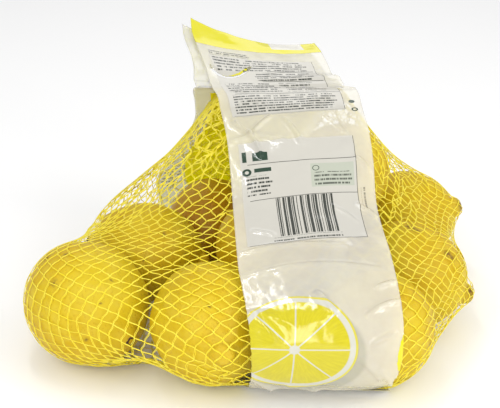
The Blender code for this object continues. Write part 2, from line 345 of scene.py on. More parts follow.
def net_panels():
    """The four panels of the net, in order round it, each from seam to seam."""
    front_film = film_band(FRONT_LEFT, FRONT_RIGHT, CROWN, 1.0, 21, NET_ROWS)
    back_film = film_band(BACK_LEFT, BACK_RIGHT, 0.0, -1.0, 21, NET_ROWS)
    front = net_band(front_film, 1.0)
    back = net_band(back_film, -1.0)
    for row, inside in ((0, 1), (-1, -2)):
        seam = 0.5 * (front[:, row] + back[:, row])
        depth = 0.5 * (front[:, inside] + back[:, inside])
        weld = seam * (1.0 - WELD_DEPTH) + depth * WELD_DEPTH
        front[:, row] = weld
        back[:, row] = weld
    left = even_rows(net_side(front[0], back[0], -1, NET_COLUMNS), 0.8)
    right = even_rows(net_side(front[-1], back[-1], 1, NET_COLUMNS), 0.8)
    rise = np.linspace(0.0, 1.0, NET_ROWS)
    close = np.clip((rise - GATHER[0]) / (GATHER[1] - GATHER[0]), 0, 1) ** 2 * GATHER[2]
    for panel in (left, back):
        short = np.maximum(front[0, :, 0] - 1.5 - panel[..., 0], 0.0)
        panel[..., 0] += short * close
    for panel in (left, right):
        for x, y, z, reach, dx, dy, dz in TUCKS:
            far = np.linalg.norm(panel - (x, y, z), axis=2) / reach
            share = np.exp(-far ** 2)
            share[:, (0, -1)] = 0.0
            share[(0, -1), :] = 0.0
            panel += share[..., None] * np.array([dx, dy, dz])
        panel[..., 2] = np.maximum(panel[..., 2], 0.4)
    return {
        "front": (front, DIAMONDS_BAND), "right": (right, DIAMONDS_RIGHT),
        "back": (back[::-1], DIAMONDS_BAND), "left": (left[::-1], DIAMONDS_LEFT),
    }


def sample(grid, u, v):
    """Points of a grid at shares u across and v along, by straight interpolation."""
    columns, rows = grid.shape[:2]
    x = np.clip(np.asarray(u) * (columns - 1), 0, columns - 1)
    y = np.clip(np.asarray(v) * (rows - 1), 0, rows - 1)
    i = np.minimum(x.astype(int), columns - 2)
    j = np.minimum(y.astype(int), rows - 2)
    fx = (x - i)[..., None]
    fy = (y - j)[..., None]
    return ((grid[i, j] * (1 - fx) + grid[i + 1, j] * fx) * (1 - fy)
            + (grid[i, j + 1] * (1 - fx) + grid[i + 1, j + 1] * fx) * fy)


# ---------------------------------------------------------------- meshes and materials

def new_object(name, verts, faces, material, edges=()):
    """A smooth-shaded mesh object in the scene, its place in its mesh."""
    mesh = bpy.data.meshes.new(name)
    mesh.from_pydata([tuple(v) for v in verts], edges, faces)
    mesh.validate()
    if faces:
        mesh.shade_smooth()
    if material:
        mesh.materials.append(material)
    obj = bpy.data.objects.new(name, mesh)
    bpy.context.scene.collection.objects.link(obj)
    return obj


def point_values(obj, name, values):
    """Keep one number for every vertex, for the materials to read."""
    obj.data.attributes.new(name, "FLOAT", "POINT").data.foreach_set("value", values)


def face_outwards(obj):
    """Turn every face of a closed mesh outwards."""
    bm = bmesh.new()
    bm.from_mesh(obj.data)
    bmesh.ops.recalc_face_normals(bm, faces=bm.faces)
    bm.to_mesh(obj.data)
    bm.free()


def applied(obj):
    """Turn an object with modifiers into a plain mesh and drop the modifiers."""
    bpy.context.view_layer.update()
    graph = bpy.context.evaluated_depsgraph_get()
    mesh = bpy.data.meshes.new_from_object(obj.evaluated_get(graph), depsgraph=graph)
    mesh.name = obj.name
    obj.modifiers.clear()
    obj.data = mesh
    return obj


def finish_piece(obj, slot, *nodes):
    """Let a piece ride on the pack and hide the solids it stands for; the slot is not used."""
    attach(obj, "root")
    if nodes:
        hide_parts(*nodes)


class Tree:
    """Short ways to add nodes to a shader tree and join them up."""

    def __init__(self, tree):
        self.tree = tree

    def add(self, kind, inputs=None, **settings):
        node = self.tree.nodes.new(kind)
        for key, value in settings.items():
            setattr(node, key, value)
        for key, value in (inputs or {}).items():
            self.feed(node.inputs[key], value)
        return node

    def feed(self, socket, value):
        if isinstance(value, bpy.types.NodeSocket):
            self.tree.links.new(value, socket)
        else:
            socket.default_value = value

    def math(self, operation, a, b=0.0, c=0.0, clamp=False):
        node = self.add("ShaderNodeMath", {0: a, 1: b, 2: c}, operation=operation)
        node.use_clamp = clamp
        return node.outputs[0]

    def mul(self, a, b):
        return self.math("MULTIPLY", a, b)

    def over(self, a, b):
        return self.math("DIVIDE", a, b)

    def plus(self, a, b):
        return self.math("ADD", a, b)

    def minus(self, a, b):
        return self.math("SUBTRACT", a, b)

    def rest(self, share):
        """What a share leaves of 1."""
        return self.math("SUBTRACT", 1.0, share)

    def distance(self, dx, dy):
        return self.math("SQRT", self.plus(self.mul(dx, dx), self.mul(dy, dy)))

    def attribute(self, name):
        node = self.add("ShaderNodeAttribute", attribute_name=name, attribute_type="GEOMETRY")
        return node.outputs["Fac"]

    def bump(self, shader, height, strength, distance):
        """Fine relief on a Principled shader, its distance in metres."""
        node = self.add("ShaderNodeBump", {"Height": height, "Strength": strength,
                                           "Distance": distance})
        self.feed(shader.inputs["Normal"], node.outputs[0])

    def ramp(self, value, low, high):
        """0 below low, 1 above high, smooth between."""
        node = self.add("ShaderNodeMapRange", {"Value": value, "From Min": low, "From Max": high},
                        interpolation_type="SMOOTHSTEP")
        return node.outputs["Result"]

    def mix(self, share, a, b, blend="MIX"):
        node = self.add("ShaderNodeMix", data_type="RGBA", blend_type=blend)
        self.feed(node.inputs[0], share)
        self.feed(node.inputs[6], colour4(a))
        self.feed(node.inputs[7], colour4(b))
        return node.outputs[2]

    def either(self, *masks):
        total = masks[0]
        for mask in masks[1:]:
            total = self.math("MAXIMUM", total, mask)
        return total

    def noise(self, vector, scale, detail=2.0, roughness=0.5):
        node = self.add("ShaderNodeTexNoise", {"Vector": vector, "Scale": scale,
                                               "Detail": detail, "Roughness": roughness})
        return node.outputs["Fac"]


def colour4(value):
    """A colour with its alpha, or the socket that carries one."""
    if isinstance(value, bpy.types.NodeSocket) or len(value) == 4:
        return value
    return (*value, 1.0)


def new_material(name):
    """A material with its Principled shader and a helper for its tree."""
    material = bpy.data.materials.new(name)
    material.use_nodes = True
    return material, material.node_tree.nodes["Principled BSDF"], Tree(material.node_tree)


def subsurface(shader, weight, radius, scale):
    """How much light a material takes in and how far it spreads."""
    for key, value in (("Weight", weight), ("Radius", radius), ("Scale", scale)):
        shader.inputs["Subsurface " + key].default_value = value


def new_group(name, inputs, outputs):
    """A shader node group with named float, vector or colour sockets."""
    group = bpy.data.node_groups.new(name, "ShaderNodeTree")
    for direction_, sockets in (("INPUT", inputs), ("OUTPUT", outputs)):
        for label, kind, default in sockets:
            socket = group.interface.new_socket(label, in_out=direction_,
                                                socket_type="NodeSocket" + kind)
            if default is not None:
                socket.default_value = default
    tree = Tree(group)
    return group, tree, tree.add("NodeGroupInput").outputs, tree.add("NodeGroupOutput").inputs


def box_group():
    """Mask of an upright rectangle in a print."""
    group, t, given, out = new_group(
        "print_box",
        [("X", "Float", 0.0), ("Y", "Float", 0.0), ("Left", "Float", 0.0),
         ("Right", "Float", 1.0), ("Low", "Float", 0.0), ("High", "Float", 1.0)],
        [("Mask", "Float", None)])
    soft = 0.12
    sides = []
    for value, edge, sign in (("X", "Left", 1), ("X", "Right", -1), ("Y", "Low", 1),
                              ("Y", "High", -1)):
        a, b = (given[value], given[edge]) if sign > 0 else (given[edge], given[value])
        sides.append(t.math("DIVIDE", t.minus(a, b), soft, clamp=True))
    mask = t.mul(t.mul(sides[0], sides[1]),
                  t.mul(sides[2], sides[3]))
    t.feed(out["Mask"], mask)
    return group


def small_print_group(box):
    """Mask of rows of small broken strokes, which read as fine print but spell nothing."""
    group, t, given, out = new_group(
        "small_print",
        [("X", "Float", 0.0), ("Y", "Float", 0.0), ("Left", "Float", 0.0),
         ("Right", "Float", 1.0), ("Low", "Float", 0.0), ("High", "Float", 1.0),
         ("Pitch", "Float", 2.2), ("Weight", "Float", 0.5), ("Ragged", "Float", 0.1)],
        [("Mask", "Float", None)])
    line = t.over(given["Y"], given["Pitch"])
    row = t.math("FLOOR", line)
    within = t.math("FRACT", line)
    height = t.mul(t.ramp(within, 0.15, 0.3),
                    t.rest(t.ramp(within, 0.62, 0.8)))
    at = t.add("ShaderNodeCombineXYZ", {"X": given["X"], "Y": t.mul(row, 7.31)})
    strokes = t.noise(at.outputs[0], 2.1, 1.0)
    words = t.noise(at.outputs[0], 0.42, 0.0)
    ink = t.mul(t.ramp(strokes, 0.34, 0.50), t.ramp(words, 0.33, 0.37))
    ends = t.add("ShaderNodeTexWhiteNoise", {"W": row}, noise_dimensions="1D")
    span = t.minus(given["Right"], given["Left"])
    right = t.minus(given["Right"],
                   t.mul(t.mul(ends.outputs["Value"], span),
                          given["Ragged"]))
    area = t.add("ShaderNodeGroup", node_tree=box)
    for key in ("X", "Y", "Left", "Low", "High"):
        t.feed(area.inputs[key], given[key])
    t.feed(area.inputs["Right"], right)
    mask = t.mul(t.mul(ink, height), area.outputs[0])
    t.feed(out["Mask"], t.mul(mask, given["Weight"]))
    return group


def mottle_group():
    """Slow, middle and fine variation of a surface, from its place on the pack."""
    group, t, given, out = new_group(
        "mottle",
        [("Vector", "Vector", None), ("Slow", "Float", 30.0), ("Fine", "Float", 900.0)],
        [("Broad", "Float", None), ("Middle", "Float", None), ("Grain", "Float", None)])
    t.feed(out["Broad"], t.noise(given["Vector"], given["Slow"], 2.0))
    t.feed(out["Middle"], t.noise(given["Vector"], t.mul(given["Slow"], 5.0), 3.0))
    t.feed(out["Grain"], t.noise(given["Vector"], given["Fine"], 2.0))
    return group


def shared_group(name):
    """One of the node groups that several materials use, built when first asked for."""
    if name in bpy.data.node_groups:
        return bpy.data.node_groups[name]
    if name == "print_box":
        return box_group()
    if name == "small_print":
        return small_print_group(shared_group("print_box"))
    return mottle_group()


def add_mottle(t, slow, fine):
    """The mottle group on the pack's own coordinates: broad, middle and grain sockets."""
    place_at = t.add("ShaderNodeTexCoord").outputs["Object"]
    node = t.add("ShaderNodeGroup", {}, node_tree=shared_group("mottle"))
    t.feed(node.inputs["Vector"], place_at)
    node.inputs["Slow"].default_value = slow
    node.inputs["Fine"].default_value = fine
    return node.outputs["Broad"], node.outputs["Middle"], node.outputs["Grain"], place_at


# ---------------------------------------------------------------- lemons

PEEL_PALE = (0.69, 0.545, 0.06)
PEEL_PATCH = (0.66, 0.42, 0.012)
# deep amber of a lemon's own colour and of painted shade
PEEL_AMBER_AND_SHADE = (0.43, 0.20, 0.0)
PEEL_PORE = (0.55, 0.34, 0.012)
PEEL_TIP = (0.60, 0.40, 0.02)
# dark brown of the peel's spots and of painted crevice shade
PEEL_MARK_AND_SHADE = (0.13, 0.055, 0.015)


def peel_material(props):
    """Waxy lemon peel: warm yellow with pores, paler and greener patches, brown spots, and painted
    shade: a deep amber and dark crevice streaks.
    """
    material, shader, t = new_material("lemon_peel")
    broad, middle, grain, at = add_mottle(t, 28.0, 700.0)
    base = t.mix(t.ramp(broad, 0.35, 0.68), props.peel_deep, props.peel_light)
    base = t.mix(t.mul(t.ramp(middle, 0.45, 0.75), 0.4), base, PEEL_PALE)
    patch = t.noise(at, 95.0, 3.0, 0.6)
    base = t.mix(t.mul(t.ramp(patch, 0.55, 0.72), 0.35), base, PEEL_PATCH)
    # painted shade and own colour: a deep amber, strongest on the back-left lemon, which lies in shade
    tone = t.attribute("tone")
    base = t.mix(tone, base, PEEL_AMBER_AND_SHADE)
    pores = t.add("ShaderNodeTexVoronoi", {"Vector": at, "Scale": 620.0, "Randomness": 1.0})
    pit = t.rest(t.ramp(pores.outputs["Distance"], 0.08, 0.42))
    base = t.mix(t.mul(pit, 0.28), base, PEEL_PORE)
    tip = t.attribute("tip")
    base = t.mix(t.mul(tip, 0.55), base, PEEL_TIP)
    mark = t.attribute("mark")
    spot = t.mul(mark, t.ramp(grain, 0.25, 0.5))
    # painted shade: some of these dark spots, on top of the right lemon, stand in for crevice shade
    base = t.mix(t.mul(spot, 0.95), base, PEEL_MARK_AND_SHADE)
    t.feed(shader.inputs["Base Color"], base)
    rough = t.plus(0.38, t.mul(middle, 0.16))
    t.feed(shader.inputs["Roughness"], rough)
    shader.inputs["Specular IOR Level"].default_value = 0.3
    height = t.plus(t.mul(pit, -0.9), t.mul(middle, 0.8))
    t.bump(shader, height, 0.35, 0.0006)
    subsurface(shader, 0.12, (1.0, 0.7, 0.2), 0.004)
    return material


def scar_material():
    """Dry stem scar: tan disc with a dark rim."""
    material, shader, t = new_material("stem_scar")
    rim = t.attribute("rim")
    grain = add_mottle(t, 300.0, 1800.0)[2]
    base = t.mix(t.ramp(grain, 0.3, 0.7), (0.50, 0.33, 0.12), (0.62, 0.46, 0.20))
    base = t.mix(rim, base, (0.07, 0.028, 0.012))
    t.feed(shader.inputs["Base Color"], base)
    shader.inputs["Roughness"].default_value = 0.8
    t.bump(shader, grain, 0.5, 0.0003)
    return material


def lemon_profile(length, diameter, count):
    """Places along a lemon's axis and its radius there, stem end to blossom end."""
    ang = np.linspace(0.0, math.pi, count)
    low = -0.475 * length
    high = 0.50 * length
    at = 0.5 * (low + high) - 0.5 * (high - low) * np.cos(ang)
    power = 2.6
    total = np.zeros(count)
    for middle, half, radius in ((0.0, 0.43 * length, 0.5 * diameter),
                                 (0.40 * length, 0.10 * length, 0.115 * diameter),
                                 (-0.38 * length, 0.095 * length, 0.145 * diameter)):
        rest = np.maximum(1.0 - ((at - middle) / half) ** 2, 0.0)
        total += (radius * np.sqrt(rest)) ** power
    radius = total ** (1.0 / power)
    radius[0] = 0.0
    radius[-1] = 0.0
    return at, radius


# brown spots on the peel, and painted shade: two short dark streaks on top of the right lemon stand in
# for the shade in its crevice with the back-right lemon; lemon, share along it, turn round it in
# degrees, size in mm
MARKS_AND_SHADE = (
    ("front_left", 0.11, 107, 1.1), ("front_left", 0.25, 121, 1.4), ("front_left", -0.01, 135, 1.5),
    ("front_left", -0.24, 90, 0.7), ("front_left", -0.34, 174, 0.8), ("front_left", -0.30, 120, 0.6),
    ("upper_left", 0.07, 22, 0.9), ("upper_left", 0.16, 59, 1.0), ("upper_left", 0.34, 40, 0.7),
    ("back_right", 0.50, 17, 3.0), ("right", -0.12, 90, 1.4), ("right", -0.09, 88, 1.6),
    ("right", -0.06, 87, 1.4), ("right", 0.19, 73, 1.7), ("right", 0.22, 73, 1.9),
    ("right", 0.25, 73, 1.5), ("right", 0.50, 98, 4.4), ("right", 0.46, 60, 2.4),
    ("front_right", 0.24, 357, 0.8), ("front_middle", 0.30, 80, 0.6), ("top", 0.49, 90, 2.2),
    ("back", 0.49, 90, 2.2), ("back_left", -0.2, 30, 0.9), ("middle", 0.2, 60, 0.8),
    ("front_middle", -0.1, 200, 1.2), ("back_right", 0.0, 260, 1.4), ("back", 0.1, 20, 1.1),
)
# own colour and painted shade: how deep an amber each lemon takes; the back-left lemon's high value
# stands in for the shade it lies in
TONES_AND_SHADE = {"back_left": 0.92, "middle": 0.22, "upper_left": 0.06, "right": 0.04}


def lemon_axes(name, number):
    """A lemon's middle, its long axis, two directions across it, and how far it bends."""
    centre, azimuth, elevation = LEMONS[name][:3]
    axis = direction(azimuth, elevation)
    side = np.cross(axis, (0.0, 0.0, 1.0))
    side /= np.linalg.norm(side)
    middle = np.array(centre, float) + (0.0, 0.0, LIFT)
    return middle, axis, side, np.cross(side, axis), 1.2 * math.sin(number * 2.3)


def build_lemon(name, number, material):
    """One lemon: a turned form, drawn out at both ends, with shallow lumps all over."""
    centre, _, _, length, diameter = LEMONS[name]
    middle, axis, side, other, bend = lemon_axes(name, number)
    rings = 90
    around = 128
    at, radius = lemon_profile(length, diameter, rings)
    turn = np.linspace(0.0, 2 * math.pi, around, endpoint=False)
    verts = []
    tips = []
    for k in range(rings):
        share = at[k] / length
        lean = bend * (2 * share) ** 3
        ring = 1 if k in (0, rings - 1) else around
        for m in range(ring):
            c, s = math.cos(turn[m]), math.sin(turn[m])
            p = middle + axis * at[k] + radius[k] * (c * side + s * other) + side * lean
            q = Vector(p / 17.0) + Vector((number * 7.1, 0.0, 0.0))
            lump = 0.7 * noise.noise(q) + 0.3 * noise.noise(q * 2.7)
            fade = min(1.0, radius[k] / 12.0)
            flute = 0.18 * math.cos(5 * turn[m] + number) * max(0.0, 2 * abs(share) - 0.45)
            out = (c * side + s * other) * ((lump - 0.35) * fade + flute)
            verts.append(p + out)
            tips.append(max(0.0, (abs(share) - 0.41) / 0.09))
    faces = []
    first = 1
    for m in range(around):
        faces.append((0, first + (m + 1) % around, first + m))
    for k in range(1, rings - 2):
        a = 1 + (k - 1) * around
        b = a + around
        for m in range(around):
            n = (m + 1) % around
            faces.append((a + m, a + n, b + n, b + m))
    last = len(verts) - 1
    a = 1 + (rings - 3) * around
    for m in range(around):
        faces.append((a + m, a + (m + 1) % around, last))
    obj = new_object("lemon_" + name, place(verts), faces, material)
    face_outwards(obj)
    point_values(obj, "tip", tips)
    # brown spots, and painted crevice shade on the right lemon
    marks_and_shade = np.zeros(len(verts))
    local = np.array(verts)
    for lemon, along, degrees, size in MARKS_AND_SHADE:
        if lemon != name:
            continue
        k = int(np.clip(np.searchsorted(at, along * length), 1, rings - 2))
        m = int((degrees % 360) / 360 * around)
        spot = local[1 + (k - 1) * around + m]
        marks_and_shade = np.maximum(marks_and_shade, np.exp(-((np.linalg.norm(local - spot, axis=1) / size) ** 2)))
    point_values(obj, "mark", marks_and_shade)
    # own colour and painted shade: the amber is deepest on each lemon's front side, and strongest on the
    # back-left lemon, where it stands in for the shade that lemon lies in
    front_side = np.clip(0.6 - (local[:, 1] - centre[1]) / diameter, 0.0, 1.0)
    tone = TONES_AND_SHADE.get(name, 0.0) * (0.25 + 0.75 * front_side)
    point_values(obj, "tone", tone)
    return obj


def build_stem_scar(name, number, material):
    """The dry scar where a lemon hung: a shallow dished disc with a raised rim."""
    middle, axis, side, other, bend = lemon_axes(name, number)
    middle = middle - axis * 0.462 * LEMONS[name][3] - side * bend * 0.8
    profile = ((0.0, 0.5, 0.0), (0.9, 0.5, 0.0), (1.5, 0.7, 0.2), (1.75, 1.2, 1.0),
               (2.25, 1.2, 1.0), (2.6, 0.2, 0.9), (2.6, -0.9, 0.3), (0.0, -1.0, 0.0))
    around = 30
    verts = []
    rims = []
    for k, (radius, height, rim) in enumerate(profile):
        for m in range(1 if radius == 0 else around):
            a = 2 * math.pi * m / around
            wave = 1.0 + 0.10 * math.cos(5 * a + number) + 0.05 * math.sin(3 * a)
            verts.append(middle - axis * height
                         + radius * wave * (math.sin(a) * other - math.cos(a) * side))
            rims.append(rim)
    faces = [(0, 1 + m, 1 + (m + 1) % around) for m in range(around)]
    for k in range(len(profile) - 3):
        a = 1 + k * around
        for m in range(around):
            n = (m + 1) % around
            faces.append((a + m, a + around + m, a + around + n, a + n))
    a = 1 + (len(profile) - 3) * around
    faces += [(a + (m + 1) % around, a + m, len(verts) - 1) for m in range(around)]
    obj = new_object("stem_scar_" + name, place(verts), faces, material)
    face_outwards(obj)
    point_values(obj, "rim", rims)
    return obj


# ---------------------------------------------------------------- net

def net_material(props):
    """Bright yellow knitted plastic, slightly glossy and lighter where it is thin."""
    material, shader, t = new_material("net_yellow")
    _, middle, grain, _ = add_mottle(t, 60.0, 1500.0)
    base = t.mix(t.ramp(middle, 0.3, 0.7), props.net_colour, props.net_light)
    t.feed(shader.inputs["Base Color"], base)
    rough = t.plus(0.32, t.mul(grain, 0.2))
    t.feed(shader.inputs["Roughness"], rough)
    t.bump(shader, grain, 0.2, 0.0001)
    subsurface(shader, 0.1, (1.0, 0.9, 0.3), 0.001)
    return material


def strand_tree(name):
    """Geometry nodes that turn the strands' lines into pairs of round filaments."""
    tree = bpy.data.node_groups.new(name, "GeometryNodeTree")
    sockets = {}
    for label, kind, default in (("Geometry", "Geometry", None), ("Filament Radius", "Float", 0.0002),
                                 ("Spread", "Float", 1.0), ("Sides", "Int", 4),
                                 ("Material", "Material", None)):
        s = tree.interface.new_socket(label, in_out="INPUT", socket_type="NodeSocket" + kind)
        if default is not None:
            s.default_value = default
        sockets[label] = s.identifier
    tree.interface.new_socket("Geometry", in_out="OUTPUT", socket_type="NodeSocketGeometry")
    t = Tree(tree)
    given = t.add("NodeGroupInput").outputs
    out = t.add("NodeGroupOutput")
    offset = t.add("GeometryNodeInputNamedAttribute", {"Name": "offset"}, data_type="FLOAT_VECTOR")
    profile = t.add("GeometryNodeCurvePrimitiveCircle",
                    {"Resolution": given["Sides"], "Radius": given["Filament Radius"]})
    join = t.add("GeometryNodeJoinGeometry")
    for sign in (1.0, -1.0):
        amount = t.add("ShaderNodeMath", {0: given["Spread"], 1: sign}, operation="MULTIPLY")
        shift = t.add("ShaderNodeVectorMath", {0: offset.outputs["Attribute"],
                                               "Scale": amount.outputs[0]}, operation="SCALE")
        moved = t.add("GeometryNodeSetPosition", {"Geometry": given["Geometry"],
                                                  "Offset": shift.outputs[0]})
        curve = t.add("GeometryNodeMeshToCurve", {"Mesh": moved.outputs[0]})
        tube = t.add("GeometryNodeCurveToMesh", {"Curve": curve.outputs[0],
                                                 "Profile Curve": profile.outputs[0],
                                                 "Fill Caps": True})
        t.tree.links.new(tube.outputs[0], join.inputs[0])
    smooth = t.add("GeometryNodeSetShadeSmooth", {"Geometry": join.outputs[0]})
    real = t.add("GeometryNodeRealizeInstances", {"Geometry": smooth.outputs[0]})
    finish = t.add("GeometryNodeSetMaterial", {"Geometry": real.outputs[0],
                                               "Material": given["Material"]})
    t.feed(out.inputs[0], finish.outputs[0])
    return tree, sockets


def closed_net(panels):
    """The panels as one grid that closes round the pack, and each panel's first column."""
    order = ["front", "right", "back", "left"]
    starts = {}
    columns = []
    total = 0
    for key in order:
        starts[key] = total
        grid = panels[key][0]
        columns.append(grid[:-1])
        total += len(grid) - 1
    return np.concatenate(columns + [panels["front"][0][:1]], axis=0), starts, total


def lattice_edges(around, rows):
    """Pairs of joins that one strand links, for the strands that rise right and left."""
    i = np.arange(around)[:, None] * np.ones((1, rows - 1), int)
    j = np.ones((around, 1), int) * np.arange(rows - 1)[None, :]
    odd = j % 2
    right = (i + odd) % around
    left = (i + odd - 1) % around
    low = i * rows + j
    return low, right * rows + j + 1, left * rows + j + 1


def relaxed_joins(panels):
    """Where the net's joins lie, as columns and rows of the closed grid.

    Every side of a mesh wants the same length, so the joins slide over the surface until
    the meshes are wide where the net is pulled round the fruit and narrow at the header.
    """
    grid, starts, total = closed_net(panels)
    tall = grid.shape[1] - 1
    around = sum(meshes for _, meshes in panels.values())
    rows = 2 * DIAMONDS_LONG + 1
    first = {}
    count = 0
    for key, (_, meshes) in panels.items():
        first[key] = count
        count += meshes
    knots = [2 * first[key] for key in panels] + [2 * around]
    places = [starts[key] for key in panels] + [total]
    half = 2 * np.arange(around)[:, None] + (np.arange(rows) % 2)[None, :]
    c = np.interp(half, knots, places)
    v = np.linspace(0.0, tall, rows)[None, :] * np.ones((around, 1))
    low, right, left = lattice_edges(around, rows)
    a = np.concatenate([low.ravel(), low.ravel()])
    b = np.concatenate([right.ravel(), left.ravel()])
    nodes = around * rows
    valence = np.bincount(a, minlength=nodes) + np.bincount(b, minlength=nodes)
    spread = np.random.default_rng(5).normal(0.0, 1.0, len(a))
    rest = MESH_SIDE * (1.0 + 0.12 * np.clip(spread, -2, 2))
    c = c.ravel()
    v = v.ravel()
    fixed = np.isin(np.arange(nodes) % rows, (0, rows - 1))
    # along each strand: the join before and after every join
    before = []
    here = []
    after = []
    step_r = right.reshape(around, rows - 1)
    step_l = left.reshape(around, rows - 1)
    for step in (step_r, step_l):
        for j in range(rows - 2):
            mid = step[:, j]
            before.append(low[:, j])
            here.append(mid)
            after.append(step[mid // rows, j + 1])
    before, here, after = (np.concatenate(k) for k in (before, here, after))

    def surface(c, v):
        x = np.mod(c, total)
        i = np.minimum(x.astype(int), total - 1)
        y = np.clip(v, 0, tall)
        j = np.minimum(y.astype(int), tall - 1)
        fx = (x - i)[:, None]
        fy = (y - j)[:, None]
        p00, p10, p01, p11 = grid[i, j], grid[i + 1, j], grid[i, j + 1], grid[i + 1, j + 1]
        point = (p00 * (1 - fx) + p10 * fx) * (1 - fy) + (p01 * (1 - fx) + p11 * fx) * fy
        dc = (p10 - p00) * (1 - fy) + (p11 - p01) * fy
        dv = (p01 - p00) * (1 - fx) + (p11 - p10) * fx
        return point, dc, dv

    speed_c = np.zeros(nodes)
    speed_v = np.zeros(nodes)
    for _ in range(SLIDES):
        point, dc, dv = surface(c, v)
        line = point[b] - point[a]
        length = np.maximum(np.linalg.norm(line, axis=1), 1e-6)
        pull = (0.5 * (length - rest) / length)[:, None] * line
        straight = STRAND_STIFFNESS * (0.5 * (point[before] + point[after]) - point[here])
        force = np.empty((nodes, 3))
        for k in range(3):
            force[:, k] = (np.bincount(a, pull[:, k], nodes) - np.bincount(b, pull[:, k], nodes)
                           + np.bincount(here, straight[:, k], nodes))
        force *= 0.9 / valence[:, None]
        aa = (dc * dc).sum(1) + 0.02
        bb = (dv * dv).sum(1) + 0.02
        ab = (dc * dv).sum(1)
        fa = (dc * force).sum(1)
        fb = (dv * force).sum(1)
        det = np.maximum(aa * bb - ab * ab, 1e-3)
        move_c = np.clip((bb * fa - ab * fb) / det, -0.5, 0.5)
        move_v = np.clip((aa * fb - ab * fa) / det, -0.5, 0.5)
        speed_c = np.clip(GLIDE * speed_c + move_c, -0.5, 0.5)
        speed_v = np.clip(GLIDE * speed_v + move_v, -0.5, 0.5)
        c = np.where(fixed, c, c + speed_c)
        v = np.where(fixed, v, np.clip(v + speed_v, 0.05, tall - 0.05))
    return c.reshape(around, rows), v.reshape(around, rows), grid, starts, total


def strand_lines(panels):
    """Centre lines of every strand, as runs of points and offsets kept by panel.

    Strands cross the net slantwise both ways.  Between two joins a strand swings over
    by half a mesh, and at a join it runs beside its neighbour for a short way.
    """
    c, v, grid, starts, total = relaxed_joins(panels)
    around, rows = c.shape
    order = list(panels)
    steps = (rows - 1) * STEPS_A_LEG
    t = np.arange(steps + 1) / STEPS_A_LEG
    leg = np.minimum(np.floor(t).astype(int), rows - 2)
    part = t - leg
    swing = part - JOIN * np.sin(2 * math.pi * part) / (2 * math.pi)
    runs = {key: [] for key in order}
    for family in (1, -1):
        for first in range(around):
            i = np.empty(rows, int)
            i[0] = first
            for j in range(rows - 1):
                i[j + 1] = (i[j] + j % 2 - (0 if family > 0 else 1)) % around
            at_c = c[i, np.arange(rows)]
            at_c = at_c[0] + np.concatenate([[0.0], np.cumsum(
                np.mod(np.diff(at_c) + 0.5 * total, total) - 0.5 * total)])
            at_v = v[i, np.arange(rows)]
            column = np.mod(at_c[leg] + (at_c[leg + 1] - at_c[leg]) * swing, total)
            row = at_v[leg] + (at_v[leg + 1] - at_v[leg]) * part
            points = sample(grid, column / total, row / (grid.shape[1] - 1))
            nudge = 0.25
            across = (sample(grid, np.mod(column + nudge, total) / total, row / (grid.shape[1] - 1))
                      - sample(grid, column / total, row / (grid.shape[1] - 1)))
            home = np.searchsorted([starts[key] for key in order], column, side="right") - 1
            wobble = np.array([noise.noise(Vector((0.9 * k, first * 3.7, family * 5.1)))
                               for k in range(steps + 1)])
            open_ = np.abs(np.sin(math.pi * part)) * (FILAMENT_GAP + 0.16 * wobble)
            size = np.linalg.norm(across, axis=1, keepdims=True)
            offset = across / np.maximum(size, 1e-6) * np.maximum(open_, 0.03)[:, None]
            k = 0
            while k < steps + 1:
                key = home[k]
                end = k
                while end < steps + 1 and home[end] == key:
                    end += 1
                stop = min(end + 1, steps + 1)
                if stop - k > 1:
                    runs[order[key]].append((points[k:stop], offset[k:stop]))
                k = end
    return runs


def push_clear(points, tree, clearance):
    """Move points that are in or too near the fruit out to a clearance from its peel."""
    out = points.copy()
    for k, p in enumerate(points):
        hit, normal, _, distance = tree.find_nearest(Vector(p))
        if hit is None or distance > 0.004:
            continue
        side = (Vector(p) - hit).dot(normal)
        if side < clearance:
            out[k] = hit + normal * clearance
    return out


def fruit_tree(lemons):
    """One search tree over all the lemons' faces."""
    verts = []
    faces = []
    for obj in lemons:
        base = len(verts)
        verts += [v.co.copy() for v in obj.data.vertices]
        faces += [tuple(base + i for i in p.vertices) for p in obj.data.polygons]
    return BVHTree.FromPolygons(verts, faces)


def build_net_panel(name, runs, fruit, group, props, material, sides, spread):
    """One panel of the net, its strands laid on the fruit and made into filaments."""
    verts = []
    edges = []
    offsets = []
    for points, offset in runs:
        points = push_clear(place(points), fruit, props.filament * 1.3)
        base = len(verts)
        verts += [tuple(p) for p in points]
        edges += [(base + k, base + k + 1) for k in range(len(points) - 1)]
        offsets += [tuple(o * MM) for o in offset]
    obj = new_object(name, verts, [], None, edges)
    attribute = obj.data.attributes.new("offset", "FLOAT_VECTOR", "POINT")
    attribute.data.foreach_set("vector", np.array(offsets, float).ravel())
    tree, sockets = group
    knit = obj.modifiers.new("Strands", "NODES")
    knit.node_group = tree
    knit[sockets["Filament Radius"]] = props.filament
    knit[sockets["Spread"]] = spread
    knit[sockets["Sides"]] = sides
    knit[sockets["Material"]] = material
    return applied(obj)


# ---------------------------------------------------------------- film

def header_rows(shift_x, shift_y, drop, columns, rows):
    """The header as columns and rows, with its sagging middle and two pleats."""
    u = np.linspace(0.0, 1.0, columns)
    stations = []
    for k, (left, right, sag) in enumerate(HEADER):
        share = (k + 1) / len(HEADER)
        shift = np.array([shift_x * share, shift_y * share, -drop[0] - drop[1] * share])
        stations.append(np.concatenate([np.array(left, float) + shift,
                                        np.array(right, float) + shift, [sag]]))
    fine = spline(stations, rows)
    grid = fine[None, :, 0:3] * (1 - u[:, None, None]) + fine[None, :, 3:6] * u[:, None, None]
    sag = fine[None, :, 6]
    grid[..., 2] -= sag * np.sin(math.pi * u)[:, None] ** 0.8
    grid[..., 1] -= 1.2 * sag * np.sin(math.pi * u)[:, None]
    return grid


# print's shear: how much further up the film the print sits at the left than the right
SHEAR = ((0, 0.0), (60, -3.0), (97, -12.0), (125, -10.5), (147, -6.5), (180, -8.0),
         (222, 2.0), (236, 9.0), (248, 2.0), (262, 0.0))

